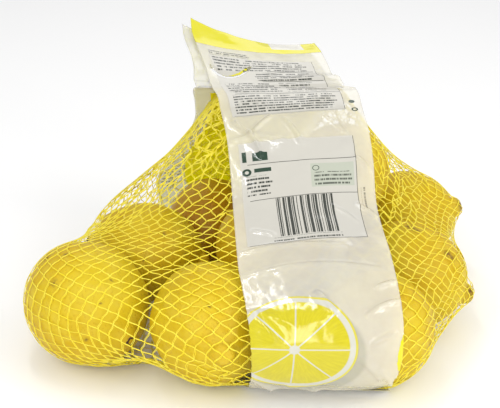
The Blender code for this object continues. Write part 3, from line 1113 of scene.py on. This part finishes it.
# sharp creases of the front film: from x, along to x, along, width, height, all in mm
CREASES = (
    (1.5, 84.5, 46, 90, 0.9, 0.55), (5, 71, 60, 76, 1.3, 0.5), (60, 64, 70, 68.5, 0.8, 0.8),
    (55, 50, 70, 57.5, 0.9, 0.9), (56, 37.5, 66, 42, 0.8, 0.6), (12, 163, 24, 176, 0.9, 0.8),
    (12, 163, 2, 160, 0.8, 0.7), (12, 163, 16, 150, 0.8, 0.7), (12, 163, 5, 173, 0.8, 0.6),
    (12, 163, 28, 160, 1.0, 0.5), (30, 174, 36, 158, 1.2, 0.6), (50, 176, 58, 165, 1.0, 0.5),
    (62, 150, 68, 141, 0.9, 0.6), (60, 120, 69, 112, 1.0, 0.6), (48, 118, 58, 108, 0.9, 0.4),
    (33, 60, 40, 50, 1.6, 0.9), (8, 50, 16, 40, 1.2, 0.5), (2, 52, 22, 46, 1.0, 0.5),
    (52, 30, 60, 20, 1.2, 0.6), (60, 24, 68, 12, 1.0, 0.8), (20, 14, 34, 8, 1.4, 0.4),
    (4, 18, 14, 6, 1.2, 0.5), (2, 8, 60, 5, 1.2, 0.35), (8, 100, 18, 96, 1.0, 0.35),
)


# how far the front film is worn back at its left and right edges, by millimetres up it
LEFT_EDGE = ((0, 0.0), (8, 2.0), (20, 3.8), (34, 3.6), (50, 2.2), (62, 1.0), (75, 0.0))
RIGHT_EDGE = ((0, 8.5), (4, 6.2), (8, 6.8), (12, 4.4), (16, 5.0), (22, 2.4), (30, 1.0), (48, 0.0))


def ridge(x, y, crease):
    """Height of one crease at each point: a sharp crest that fades at its ends."""
    x0, y0, x1, y1, width, height = crease
    dx, dy = x1 - x0, y1 - y0
    length = math.hypot(dx, dy)
    along = ((x - x0) * dx + (y - y0) * dy) / length ** 2
    bow = 0.04 * length * np.sin(math.pi * np.clip(along, 0, 1))
    off = ((x - x0) * dy - (y - y0) * dx) / length + bow
    fade = np.clip(1.0 - ((np.clip(along, -0.5, 1.5) - 0.5) / 0.62) ** 4, 0.0, 1.0)
    return height * fade * np.exp(-np.sqrt((off / width) ** 2 + 0.05))


def film_uv(obj, across, along):
    """A UV map in the film's own millimetres over FILM_LONG."""
    layer = obj.data.uv_layers.new(name="film")
    for loop in obj.data.loops:
        k = loop.vertex_index
        layer.data[loop.index].uv = (across[k] / FILM_LONG, along[k] / FILM_LONG)


def film_sheet(body, header):
    """A film's body and header as one grid, with its across and along coordinates in mm."""
    grid = np.concatenate([body, header], axis=1)
    columns, rows = grid.shape[:2]
    along = run_lengths(0.5 * (grid[0] + grid[-1]))
    x = np.linspace(0.0, FILM_WIDE, columns)[:, None] * np.ones((1, rows))
    y = along[None, :] * np.ones((columns, 1))
    return grid, x, y


def crescent(x, y):
    """How far inside the hand slot's crescent each place is, negative outside, and
    the share along and across it."""
    turn = math.radians(SLOT_TURN)
    dx = x - SLOT_CENTRE[0]
    dy = y - SLOT_CENTRE[1]
    along = dx * math.cos(turn) + dy * math.sin(turn)
    over = -dx * math.sin(turn) + dy * math.cos(turn)
    t = along / (0.5 * SLOT_LENGTH)
    half = 0.5 * SLOT_WIDTH * np.sqrt(np.maximum(1.0 - t ** 4, 0.0))
    inside = np.where(np.abs(t) < 1.0, half - np.abs(over - SLOT_SAG * t ** 2), -9.0)
    return inside, t, (over - SLOT_SAG * t ** 2) / np.maximum(half, 0.3)


def slot_gap(x, y, width):
    """How far inside the hand slot's open gap each place is, how far down its flap, and
    the part of the flap that shows its yellow face."""
    inside, t, over = crescent(x, y)
    half = 0.5 * SLOT_WIDTH * np.sqrt(np.maximum(1.0 - t ** 4, 0.0))
    up = (over + 1.0) * half
    gap = np.where(np.abs(t) < 1.0, np.minimum(up, width - up), -9.0)
    gap = np.maximum(gap, np.where(np.abs(t) < 1.0, np.minimum(inside, 11.0 * (t - 0.80)), -9.0))
    hangs = (inside > 0) & (up >= width)
    flap = np.where(hangs, np.clip(1.0 - up / (2 * half + 0.1), 0, 1), 0.0)
    sliver = np.where(hangs & (up < width + 3.0 * (t + 0.3)), 1.0, 0.0)
    return gap, flap, sliver


def cut_sheet(points, fields, keep):
    """Faces of a grid of points where keep is positive, cut clean across the cells.

    Gives the vertices, the values of the fields on them, and the faces.
    """
    rows = keep.shape[1]
    keep = np.where(np.abs(keep) < 0.02, 0.02, keep).ravel()
    verts = [p for p in points.reshape(-1, 3)]
    values = [v for v in np.stack([f.ravel() for f in fields], 1)]
    crossings = {}

    def crossing(a, b):
        key = (min(a, b), max(a, b))
        if key not in crossings:
            share = keep[a] / (keep[a] - keep[b])
            crossings[key] = len(verts)
            verts.append(verts[a] + (verts[b] - verts[a]) * share)
            values.append(values[a] + (values[b] - values[a]) * share)
        return crossings[key]

    faces = []
    for i in range(len(keep) // rows - 1):
        for j in range(rows - 1):
            a = i * rows + j
            ring = (a, a + rows, a + rows + 1, a + 1)
            signs = [keep[k] > 0 for k in ring]
            if all(signs):
                faces.append(ring)
            elif any(signs):
                outline = []
                for here, there in zip(ring, ring[1:] + ring[:1]):
                    if keep[here] > 0:
                        outline.append(here)
                    if (keep[here] > 0) != (keep[there] > 0):
                        outline.append(crossing(here, there))
                if len(outline) > 2:
                    faces.append(tuple(outline))
    return np.array(verts), np.array(values), faces


def roughness(x, y, scale, seed):
    """Smooth random heights over a sheet."""
    flat = [noise.noise(Vector((a / scale[0], b / scale[1], seed)))
            for a, b in zip(x.ravel(), y.ravel())]
    return np.array(flat).reshape(x.shape)


def worn_edges(x, y):
    """How far inside its worn left, right and lower edges each place of the front film is."""
    fray = 0.5 * roughness(0 * x, y, (1.0, 2.2), 5.0)
    left = np.interp(y, *zip(*LEFT_EDGE)) + fray * np.clip((75 - y) / 20, 0, 1)
    right = np.interp(y, *zip(*RIGHT_EDGE))
    right = right + 1.6 * roughness(0 * x, y, (1.0, 1.5), 8.0) * np.clip((26 - y) / 6, 0, 1)
    low = 1.0 + 0.9 * roughness(x, 0 * y, (5.0, 1.0), 1.0) + 0.5 * np.sin(x / 3.1)
    return np.minimum(np.minimum(x - left, FILM_WIDE - right - x) + 0.05, y - low)


def build_front_film(material, fruit):
    """The front film with its creases, buckles, pleats, worn edges and hand slot."""
    columns = 120
    body = film_band(FRONT_LEFT, FRONT_RIGHT, CROWN, 1.0, columns, 220)
    grid, x, y = film_sheet(body, header_rows(0.0, 0.0, (0.0, 0.0), columns, 118))
    n = normals(grid)
    height = 3.3 * sum(ridge(x, y, crease) for crease in CREASES)
    height = height + 0.6 * roughness(x, y, (24.0, 17.0), 3.0) + 0.25 * roughness(x, y, (8.0, 11.0), 9.0)
    height = height + 0.07 * roughness(x, y, (3.2, 4.2), 14.0) * np.clip((200 - y) / 20, 0.3, 1)
    weld = np.exp(-((y - WELD_AT) / 3.5) ** 2)
    edge = np.minimum(x, FILM_WIDE - x)
    height = height * (1 - 0.6 * weld) + 0.25 * np.sin(y / 2.3 + 0.05 * x) * weld
    pleats = sum(np.clip((x - 20.0) / 40.0, 0, 1) * 0.9 * np.tanh((y - s) / 0.8)
                 for s in (207.0, 212.5))
    height = height + pleats * np.exp(-((y - 210.0) / 8.0) ** 2)
    height = height * np.clip(edge / 1.5 + 0.35, 0, 1)
    gap, flap, sliver = slot_gap(grid[..., 0], grid[..., 1], SLOT_GAP)
    header = y > HEADER_FROM
    height = height - np.where(header, 1.4 * flap, 0.0)
    grid = grid + n * height[..., None]
    points = place(grid)
    flat = points.reshape(-1, 3)
    flat[:] = push_clear(flat, fruit, FILM_CLEARANCE)
    keep = np.minimum(worn_edges(x, y), np.where(header, -gap, 9.0))
    sliver = np.where(header, sliver, 0.0)
    print_y = y + np.interp(y, *zip(*SHEAR)) * (x / FILM_WIDE - 0.5)
    verts, values, faces = cut_sheet(points, (x, print_y, sliver), keep)
    obj = new_object("film_front", verts, faces, material)
    film_uv(obj, values[:, 0], values[:, 1])
    point_values(obj, "sliver", values[:, 2])
    return thicken(obj)


def thicken(obj):
    """Give a film sheet its real thickness, drop loose points and face it outwards."""
    bm = bmesh.new()
    bm.from_mesh(obj.data)
    loose = [v for v in bm.verts if not v.link_faces]
    bmesh.ops.delete(bm, geom=loose, context="VERTS")
    bm.to_mesh(obj.data)
    bm.free()
    wall = obj.modifiers.new("Thickness", "SOLIDIFY")
    wall.thickness = FILM_THIN * MM
    wall.offset = 0.0
    return applied(obj)


def build_back_film(material, fruit):
    """The back film: under the fruit, up behind it and out as the header's rear layer."""
    columns = 60
    body = film_band(BACK_LEFT, BACK_RIGHT, 0.0, -1.0, columns, 230)
    header = header_rows(BACK_HEADER_SHIFT[0], BACK_HEADER_SHIFT[1],
                         (FILM + GAP, HEADER_PARTING), columns, 90)
    grid, x, y = film_sheet(body, header)
    n = normals(grid)
    slow = roughness(x, y, (20.0, 15.0), 23.0) + 0.5 * roughness(x, y, (7.0, 9.0), 29.0)
    flare = EDGE_FLARE * np.exp(-((y - FLARE_AT) / FLARE_REACH) ** 2)
    grid[..., 0] -= flare * (1 - x / FILM_WIDE) ** 2
    lift = np.clip((grid[..., 2] - 0.6) / 12.0, 0, 1)
    grid = grid + n * (0.9 * slow * lift)[..., None]
    points = place(grid).reshape(-1, 3)
    points[:] = push_clear(points, fruit, FILM_CLEARANCE)
    points[:, 2] = np.maximum(points[:, 2], 0.5 * FILM_THIN * MM)
    inside = crescent(grid[..., 0], grid[..., 1])[0]
    header = np.arange(grid.shape[1])[None, :] > 231
    keep = np.where(header, -inside, 9.0)
    verts, values, faces = cut_sheet(points, (x, y), keep)
    obj = new_object("film_back", verts, [face[::-1] for face in faces], material)
    film_uv(obj, values[:, 0], values[:, 1])
    return thicken(obj)


INK_DARK = (0.012, 0.018, 0.010)
INK_GREEN = (0.004, 0.035, 0.014)
# rectangles of the front print: left, right, low, high, all in millimetres
BARS = (
    (8.5, 61.5, 147.0, 147.5), (8.5, 61.5, 124.6, 125.1),
    (61.2, 61.6, 93.0, 161.0), (6.0, 61.6, 92.9, 93.3),
    (61.0, 61.4, 179.5, 236.0), (6.0, 61.4, 179.2, 179.5),
    (34.0, 60.0, 221.7, 222.5), (28.0, 60.5, 211.0, 211.6), (9.0, 61.0, 196.4, 197.0),
)
BOLD_BARS = ((6.2, 8.4, 148.8, 155.6), (11.2, 18.8, 149.2, 154.6), (11.6, 20.0, 142.0, 144.6))
# widths of the bars and gaps of the striped block, in turn; they stand for no number
BAR_WIDTHS = (1, 1, 2, 1, 1, 3, 3, 1, 1, 2, 4, 1, 1, 1, 2, 3, 1, 4, 3, 1, 1, 2,
              1, 1, 4, 2, 1, 1, 2, 1, 3, 2, 1, 3, 1, 1, 4, 1, 2, 2, 1, 1, 3, 1)
STRIPED_BLOCK = (20.8, 49.2, 97.5, 124.6)
PANELS = ((5.0, 61.6, 93.0, 161.0), (5.0, 61.4, 179.0, 236.0))
# rings of the front print: across, along, outer and inner radius
RINGS = ((8.0, 142.6, 2.3, 1.0), (65.3, 186.5, 1.5, 0.0), (66.0, 179.0, 1.6, 0.9),
         (41.6, 141.6, 1.7, 1.35))
SLICE_CENTRE = (22.3, 36.3)
SLICE_SHADE = (26.5, 32.3)     # centre of the soft shadow that the cut lemon is printed with
SLICE_RADII = (27.6, 22.6)
WEDGES = 8
PRINT_BLOCKS = (
    # left, right, low, high, pitch, weight, ragged
    (5.5, 28.0, 236.5, 241.5, 2.4, 1.0, 0.1), (6.0, 58.0, 223.0, 235.5, 2.5, 1.0, 0.10),
    (26.0, 58.0, 212.0, 221.5, 2.4, 1.0, 0.2), (7.5, 34.0, 198.0, 210.5, 2.0, 1.0, 0.3),
    (36.0, 59.0, 198.0, 210.0, 2.4, 0.85, 0.4), (7.5, 60.0, 181.0, 196.0, 2.1, 1.0, 0.12),
    (7.5, 20.5, 128.0, 140.0, 2.4, 1.0, 0.25), (40.5, 59.5, 130.4, 139.0, 2.6, 0.8, 0.1),
)


def print_coordinates(t):
    """Across and along places on a film, in millimetres, from its UV map."""
    uv = t.add("ShaderNodeUVMap", uv_map="film")
    xyz = t.add("ShaderNodeSeparateXYZ", {0: uv.outputs[0]})
    return (t.mul(xyz.outputs[0], FILM_LONG),
            t.mul(xyz.outputs[1], FILM_LONG))


PRINT_INPUTS = ("X", "Y", "Left", "Right", "Low", "High", "Pitch", "Weight", "Ragged")


def print_mask(t, group, values):
    """Mask from one of the print groups, its inputs given in turn."""
    node = t.add("ShaderNodeGroup", {}, node_tree=shared_group(group))
    for key, value in zip(PRINT_INPUTS, values):
        t.feed(node.inputs[key], value)
    return node.outputs[0]


def print_box(t, x, y, *edges):
    """Mask of a rectangle of print: left, right, low, high."""
    return print_mask(t, "print_box", (x, y) + edges)


def print_text(t, x, y, *block):
    """Mask of a block of broken strokes: left, right, low, high, pitch, weight, ragged."""
    return print_mask(t, "small_print", (x, y) + block)


def striped_block(t, x, y):
    """Mask of a block of upright bars of made-up widths."""
    left, right, low, high = STRIPED_BLOCK
    masks = []
    widths = list(BAR_WIDTHS)
    total = sum(widths)
    edges = np.cumsum([0] + widths) / total
    half = len(widths) // 2
    for part in range(2):
        ramp = t.add("ShaderNodeValToRGB")
        ramp.color_ramp.interpolation = "CONSTANT"
        stops = ramp.color_ramp.elements
        stops.remove(stops[1])
        stops[0].position = 0.0
        stops[0].color = (0, 0, 0, 1)
        low_edge, high_edge = half * part, half * (part + 1)
        a, b = edges[low_edge], edges[high_edge]
        for k in range(low_edge, high_edge):
            stop = stops.new((edges[k] - a) / (b - a) * 0.98 + 0.005)
            ink = 0.0 if k % 2 else 1.0
            stop.color = (ink, ink, ink, 1)
        stops[len(stops) - 1].color = (0, 0, 0, 1)
        x0 = left + (right - left) * a
        x1 = left + (right - left) * b
        share = t.over(t.minus(x, x0), x1 - x0)
        t.feed(ramp.inputs[0], share)
        area = print_box(t, x, y, x0, x1, low, high)
        masks.append(t.mul(ramp.outputs[0], area))
    return t.either(*masks)


def slice_offset(t, x, y, centre):
    """How far a place is from a centre, as shares of the cut lemon's radii."""
    return (t.over(t.minus(x, centre[0]), SLICE_RADII[0]),
            t.over(t.minus(y, centre[1]), SLICE_RADII[1]))


def slice_motif(t, x, y, colour, alpha):
    """A cut lemon: yellow rind, pale pith, yellow segments between pale walls."""
    dx, dy = slice_offset(t, x, y, SLICE_CENTRE)
    radius = t.distance(dx, dy)
    angle = t.math("ARCTAN2", dy, dx)
    shade_x, shade_y = slice_offset(t, x, y, SLICE_SHADE)
    shade = t.distance(shade_x, shade_y)
    cast = t.mul(t.rest(t.ramp(shade, 0.93, 1.02)), 0.6)
    colour = t.mix(cast, colour, (0.50, 0.51, 0.42))
    disc = t.rest(t.ramp(radius, 0.99, 1.01))
    colour = t.mix(disc, colour, (0.64, 0.57, 0.05))
    pith = t.rest(t.ramp(radius, 0.955, 0.97))
    colour = t.mix(pith, colour, (0.60, 0.59, 0.51))
    turn = t.over(t.plus(angle, 0.05), 2 * math.pi / WEDGES)
    wedge = t.math("ABSOLUTE", t.minus(t.math("FRACT", t.plus(turn, 8.5)), 0.5))
    wall = t.mul(wedge, radius)
    pulp = t.mul(t.ramp(wall, 0.008, 0.022),
                  t.rest(t.ramp(radius, 0.86, 0.885)))
    pulp = t.mul(pulp, t.ramp(radius, 0.07, 0.10))
    at = t.add("ShaderNodeCombineXYZ", {"X": t.mul(angle, 9.0),
                                        "Y": t.mul(radius, 2.5)})
    fibre = t.noise(at.outputs[0], 2.2, 2.0)
    juice = t.mix(t.ramp(fibre, 0.35, 0.7), (0.58, 0.50, 0.0), (0.64, 0.56, 0.003))
    colour = t.mix(pulp, colour, juice)
    alpha = t.either(alpha, t.mul(disc, 0.93))
    return colour, alpha


def film_base(t, props, extra=0.0):
    """Milky film: colour, alpha and a fine crinkle for both strips."""
    broad, middle, _, at = add_mottle(t, 35.0, 900.0)
    colour = t.mix(t.ramp(broad, 0.3, 0.7), props.film_colour, props.film_shade)
    alpha = t.plus(props.film_cover + extra, t.mul(middle, 0.08))
    crinkle = t.plus(t.mul(middle, 1.0), t.mul(broad, 1.4))
    return colour, alpha, crinkle, at


def finish_film(t, shader, colour, alpha, crinkle):
    """Join a film's colour, cover and crinkle to its shader."""
    t.feed(shader.inputs["Base Color"], colour)
    t.feed(shader.inputs["Alpha"], alpha)
    t.feed(shader.inputs["Roughness"], t.plus(0.07, t.mul(crinkle, 0.05)))
    t.bump(shader, crinkle, 0.2, 0.0009)
    shader.inputs["Coat Weight"].default_value = 0.55
    shader.inputs["Coat Roughness"].default_value = 0.05


def front_film_material(props):
    """The printed front film: yellow end strip, fine print, bars, panel and lemon slice."""
    material, shader, t = new_material("film_printed")
    colour, alpha, crinkle, at = film_base(t, props)
    x, y = print_coordinates(t)
    white = t.either(*[print_box(t, x, y, *panel) for panel in PANELS])
    colour = t.mix(t.mul(white, 0.9), colour, (0.58, 0.56, 0.50))
    alpha = t.either(alpha, t.mul(white, 0.90))
    tab = print_box(t, x, y, 39.0, 60.2, 129.4, 144.6)
    colour = t.mix(t.mul(tab, 0.9), colour, (0.50, 0.53, 0.43))
    colour, alpha = slice_motif(t, x, y, colour, alpha)
    strip = t.mul(t.ramp(y, 247.2, 247.6),
                   t.rest(print_box(t, x, y, 44.0, 62.0, 253.0, 270.0)))
    sliver = t.attribute("sliver")
    up = t.over(t.minus(y, 29.0), 10.5)
    bow = t.mul(t.mul(up, up), 2.2)
    edge = t.plus(t.minus(x, bow), t.noise(at, 420.0, 1.0))
    margin = t.either(t.ramp(edge, 67.3, 67.6),
                      t.mul(print_box(t, x, y, 61.5, 71.0, 8.0, 14.5),
                             t.ramp(t.noise(at, 330.0, 1.0), 0.46, 0.50)),
                      t.mul(print_box(t, x, y, 61.0, 71.0, 0.0, 8.0),
                             t.ramp(t.noise(at, 620.0, 1.0), 0.50, 0.54)))
    strip = t.either(strip, sliver, margin)
    colour = t.mix(strip, colour, (0.70, 0.645, 0.0))
    alpha = t.either(alpha, strip)
    thin = t.either(*[print_box(t, x, y, *bar) for bar in BARS])
    words = t.either(*[print_text(t, x, y, *block) for block in PRINT_BLOCKS])
    stripes = striped_block(t, x, y)
    ticks = print_text(t, x, y, 17.5, 50.0, 94.0, 97.0, 3.0, 0.9, 0.0)
    side = print_text(t, y, x, 112.0, 128.0, 63.0, 65.2, 2.2, 0.7, 0.0)
    dark = t.either(t.mul(thin, 0.9), words, t.mul(stripes, 0.97), ticks,
                    side)
    colour = t.mix(dark, colour, INK_DARK)
    bold = t.either(*[print_box(t, x, y, *bar) for bar in BOLD_BARS])
    for cx, cy, outer, inner in RINGS:
        dx = t.minus(x, cx)
        dy = t.minus(y, cy)
        far = t.distance(dx, dy)
        ring = t.mul(t.rest(t.ramp(far, outer - 0.1, outer + 0.1)),
                      t.ramp(far, inner - 0.1, inner + 0.1))
        bold = t.either(bold, ring)
    colour = t.mix(bold, colour, INK_GREEN)
    alpha = t.either(alpha, t.either(bold, dark))
    finish_film(t, shader, colour, alpha, crinkle)
    return material


def back_film_material(props):
    """The back film: the same milky film in a duller colour of painted shade, with a yellow field and
    two blocks of strokes.
    """
    material, shader, t = new_material("film_back")
    colour, alpha, crinkle, _ = film_base(t, props, 0.22)
    # painted shade: the back film's colour is pulled towards grey-beige, a shaded copy of the front
    # film's colour
    colour = t.mix(0.6, colour, (0.62, 0.60, 0.50))
    x, y = print_coordinates(t)
    corner = t.plus(t.mul(x, 1.0 / 22.0),
                    t.mul(t.minus(y, 200.0), 1.0 / 50.0))
    field = t.mul(print_box(t, x, y, 8.0, 64.0, 204.0, 292.0),
                   t.ramp(corner, 0.97, 1.03))
    colour = t.mix(field, colour, (0.94, 0.78, 0.003))
    alpha = t.either(alpha, t.mul(field, 0.93))
    words = t.either(print_text(t, x, y, 3.0, 15.0, 206.0, 222.0, 2.4, 0.8, 0.3),
                     print_text(t, x, y, 8.0, 60.0, 110.0, 132.0, 2.6, 0.8, 0.3))
    colour = t.mix(words, colour, (0.12, 0.13, 0.12))
    finish_film(t, shader, colour, alpha, crinkle)
    subsurface(shader, 0.8, (1.0, 1.0, 0.5), 0.0008)
    return material


# ---------------------------------------------------------------- settings and operators

def colour_setting(name, description, default):
    """A colour setting of the pack."""
    return FloatVectorProperty(name=name, description=description, subtype="COLOR", size=3,
                               min=0, max=1, default=default)


class LemonNetSettings(bpy.types.PropertyGroup):
    """Sizes and colours of the pack."""
    peel_light: colour_setting("Peel, light", "Light yellow of the peel", (0.665, 0.505, 0.012))
    peel_deep: colour_setting("Peel, deep", "Deeper yellow of the peel", (0.615, 0.415, 0.003))
    net_colour: colour_setting("Net", "Yellow of the knitted net", (0.90, 0.73, 0.012))
    net_light: colour_setting("Net, light", "Yellow of the net where it is thin",
                              (0.94, 0.82, 0.06))
    film_colour: colour_setting("Film", "Colour of the milky film", (0.86, 0.83, 0.70))
    film_shade: colour_setting("Film, shaded", "Colour of the film's duller patches",
                               (0.78, 0.75, 0.66))
    film_cover: FloatProperty(
        name="Film cover", description="How much one face of the film hides", min=0, max=1,
        default=0.42)
    filament: FloatProperty(
        name="Filament", description="Radius of one filament of the net", unit="LENGTH",
        default=0.00015)


class BuildLemons(bpy.types.Operator):
    """Build the ten lemons and their stem scars"""
    bl_idname = "lemon_net.lemons"
    bl_label = "Lemons"

    def execute(self, context):
        props = context.scene.lemon_net
        peel = peel_material(props)
        scar = scar_material()
        for number, name in enumerate(LEMONS):
            finish_piece(build_lemon(name, number, peel), "net_yellow", "net_bag")
            finish_piece(build_stem_scar(name, number, scar), "net_yellow", "net_bag")
        return {"FINISHED"}


def built_lemons():
    """The lemons that stand in the scene."""
    return [bpy.data.objects["lemon_" + name] for name in LEMONS]


class BuildNet(bpy.types.Operator):
    """Knit the net round the lemons, one piece for each side of the pack"""
    bl_idname = "lemon_net.net"
    bl_label = "Net"

    def execute(self, context):
        props = context.scene.lemon_net
        material = net_material(props)
        fruit = fruit_tree(built_lemons())
        group = strand_tree("net_strands")
        runs = strand_lines(net_panels())
        for key in runs:
            hidden = key in ("front", "back")
            panel = build_net_panel("net_" + key, runs[key], fruit, group, props, material,
                                    3 if hidden else 4, 1.0)
            finish_piece(panel, "net_yellow", "net_bag")
        return {"FINISHED"}


class BuildFilms(bpy.types.Operator):
    """Build the printed front film and the back film"""
    bl_idname = "lemon_net.films"
    bl_label = "Films"

    def execute(self, context):
        props = context.scene.lemon_net
        fruit = fruit_tree(built_lemons())
        finish_piece(build_front_film(front_film_material(props), fruit), "film_printed",
                     "front_film")
        finish_piece(build_back_film(back_film_material(props), fruit), "film_back", "back_film")
        return {"FINISHED"}


# lamps: name, place, where it aims, size, power in watts
LIGHTS = (
    ("softbox_left", (-0.55, -0.45, 0.75), (0, 0, 0.05), (0.5, 0.5), 0.9),
    ("softbox_right", (0.7, -0.25, 0.6), (0, 0, 0.05), (0.35, 0.6), 2.0),
    ("softbox_back", (0.0, 0.7, 0.7), (0, 0, 0.05), (0.8, 0.3), 0.8),
    ("softbox_front", (-0.02, -0.62, 0.27), (0, -0.1, 0.05), (0.15, 0.5), 1.0),
    ("strip_left", (-0.35, -0.55, 0.35), (0, -0.05, 0.07), (0.018, 0.45), 0.45),
    ("strip_right", (0.45, -0.45, 0.30), (0, -0.05, 0.07), (0.018, 0.45), 0.6),
    ("strip_top", (-0.12, -0.03, 0.75), (0, 0, 0.08), (0.4, 0.02), 0.6),
)
FLOOR_HALF = 4.0
CAMERA_TILT = 25.0             # degrees above the floor
CAMERA_TARGET = (-0.00322, -0.01065, 0.061)
CAMERA_DISTANCE = 0.56
CAMERA_LENS = 80.64


class BuildStage(bpy.types.Operator):
    """Set the pale floor, the soft lights and the camera"""
    bl_idname = "lemon_net.stage"
    bl_label = "Stage"

    def execute(self, context):
        scene = context.scene
        material, shader, _ = new_material("pale_floor")
        shader.inputs["Base Color"].default_value = (0.97, 0.97, 0.97, 1.0)
        shader.inputs["Roughness"].default_value = 0.9
        shader.inputs["Specular IOR Level"].default_value = 0.1
        half = FLOOR_HALF
        corners = [(-half, -half, 0), (half, -half, 0), (half, half, 0), (-half, half, 0)]
        new_object("floor", corners, [(0, 1, 2, 3)], material)

        world = bpy.data.worlds.new("studio")
        scene.world = world
        world.use_nodes = True
        background = world.node_tree.nodes["Background"]
        background.inputs[0].default_value = (1.0, 1.0, 1.0, 1.0)
        background.inputs[1].default_value = 0.70
        for name, spot, aim, size, power in LIGHTS:
            light = bpy.data.lights.new(name, "AREA")
            light.shape = "RECTANGLE"
            light.size, light.size_y = size
            light.energy = power
            lamp = bpy.data.objects.new(name, light)
            scene.collection.objects.link(lamp)
            lamp.location = spot
            lamp.rotation_euler = (Vector(aim) - Vector(spot)).to_track_quat("-Z", "Y").to_euler()
            lamp.visible_camera = False

        tilt = math.radians(CAMERA_TILT)
        camera = bpy.data.objects.new("camera", bpy.data.cameras.new("camera"))
        scene.collection.objects.link(camera)
        camera.data.sensor_width = 36.0
        camera.data.lens = CAMERA_LENS
        back = Vector((0.0, -math.cos(tilt), math.sin(tilt)))
        camera.location = Vector(CAMERA_TARGET) + CAMERA_DISTANCE * back
        camera.rotation_euler = (math.pi / 2 - tilt, 0.0, 0.0)
        camera.data.clip_start = 0.01
        scene.camera = camera
        scene.view_settings.view_transform = "Standard"
        return {"FINISHED"}


class LemonNetPanel(bpy.types.Panel):
    """Settings and steps of the pack"""
    bl_idname = "VIEW3D_PT_lemon_net"
    bl_label = "Net bag of lemons"
    bl_space_type = "VIEW_3D"
    bl_region_type = "UI"
    bl_category = "Lemons"

    def draw(self, context):
        for key in LemonNetSettings.__annotations__:
            self.layout.prop(context.scene.lemon_net, key)
        for step in STEPS:
            self.layout.operator(step.bl_idname)


STEPS = (BuildLemons, BuildNet, BuildFilms, BuildStage)
CLASSES = (LemonNetSettings,) + STEPS + (LemonNetPanel,)


def register():
    for cls in CLASSES:
        bpy.utils.register_class(cls)
    bpy.types.Scene.lemon_net = PointerProperty(type=LemonNetSettings)


def unregister():
    del bpy.types.Scene.lemon_net
    for cls in reversed(CLASSES):
        bpy.utils.unregister_class(cls)


def main():
    register()
    bpy.ops.lemon_net.lemons()
    bpy.ops.lemon_net.net()
    bpy.ops.lemon_net.films()
    bpy.ops.lemon_net.stage()


if __name__ == "__main__":
    main()
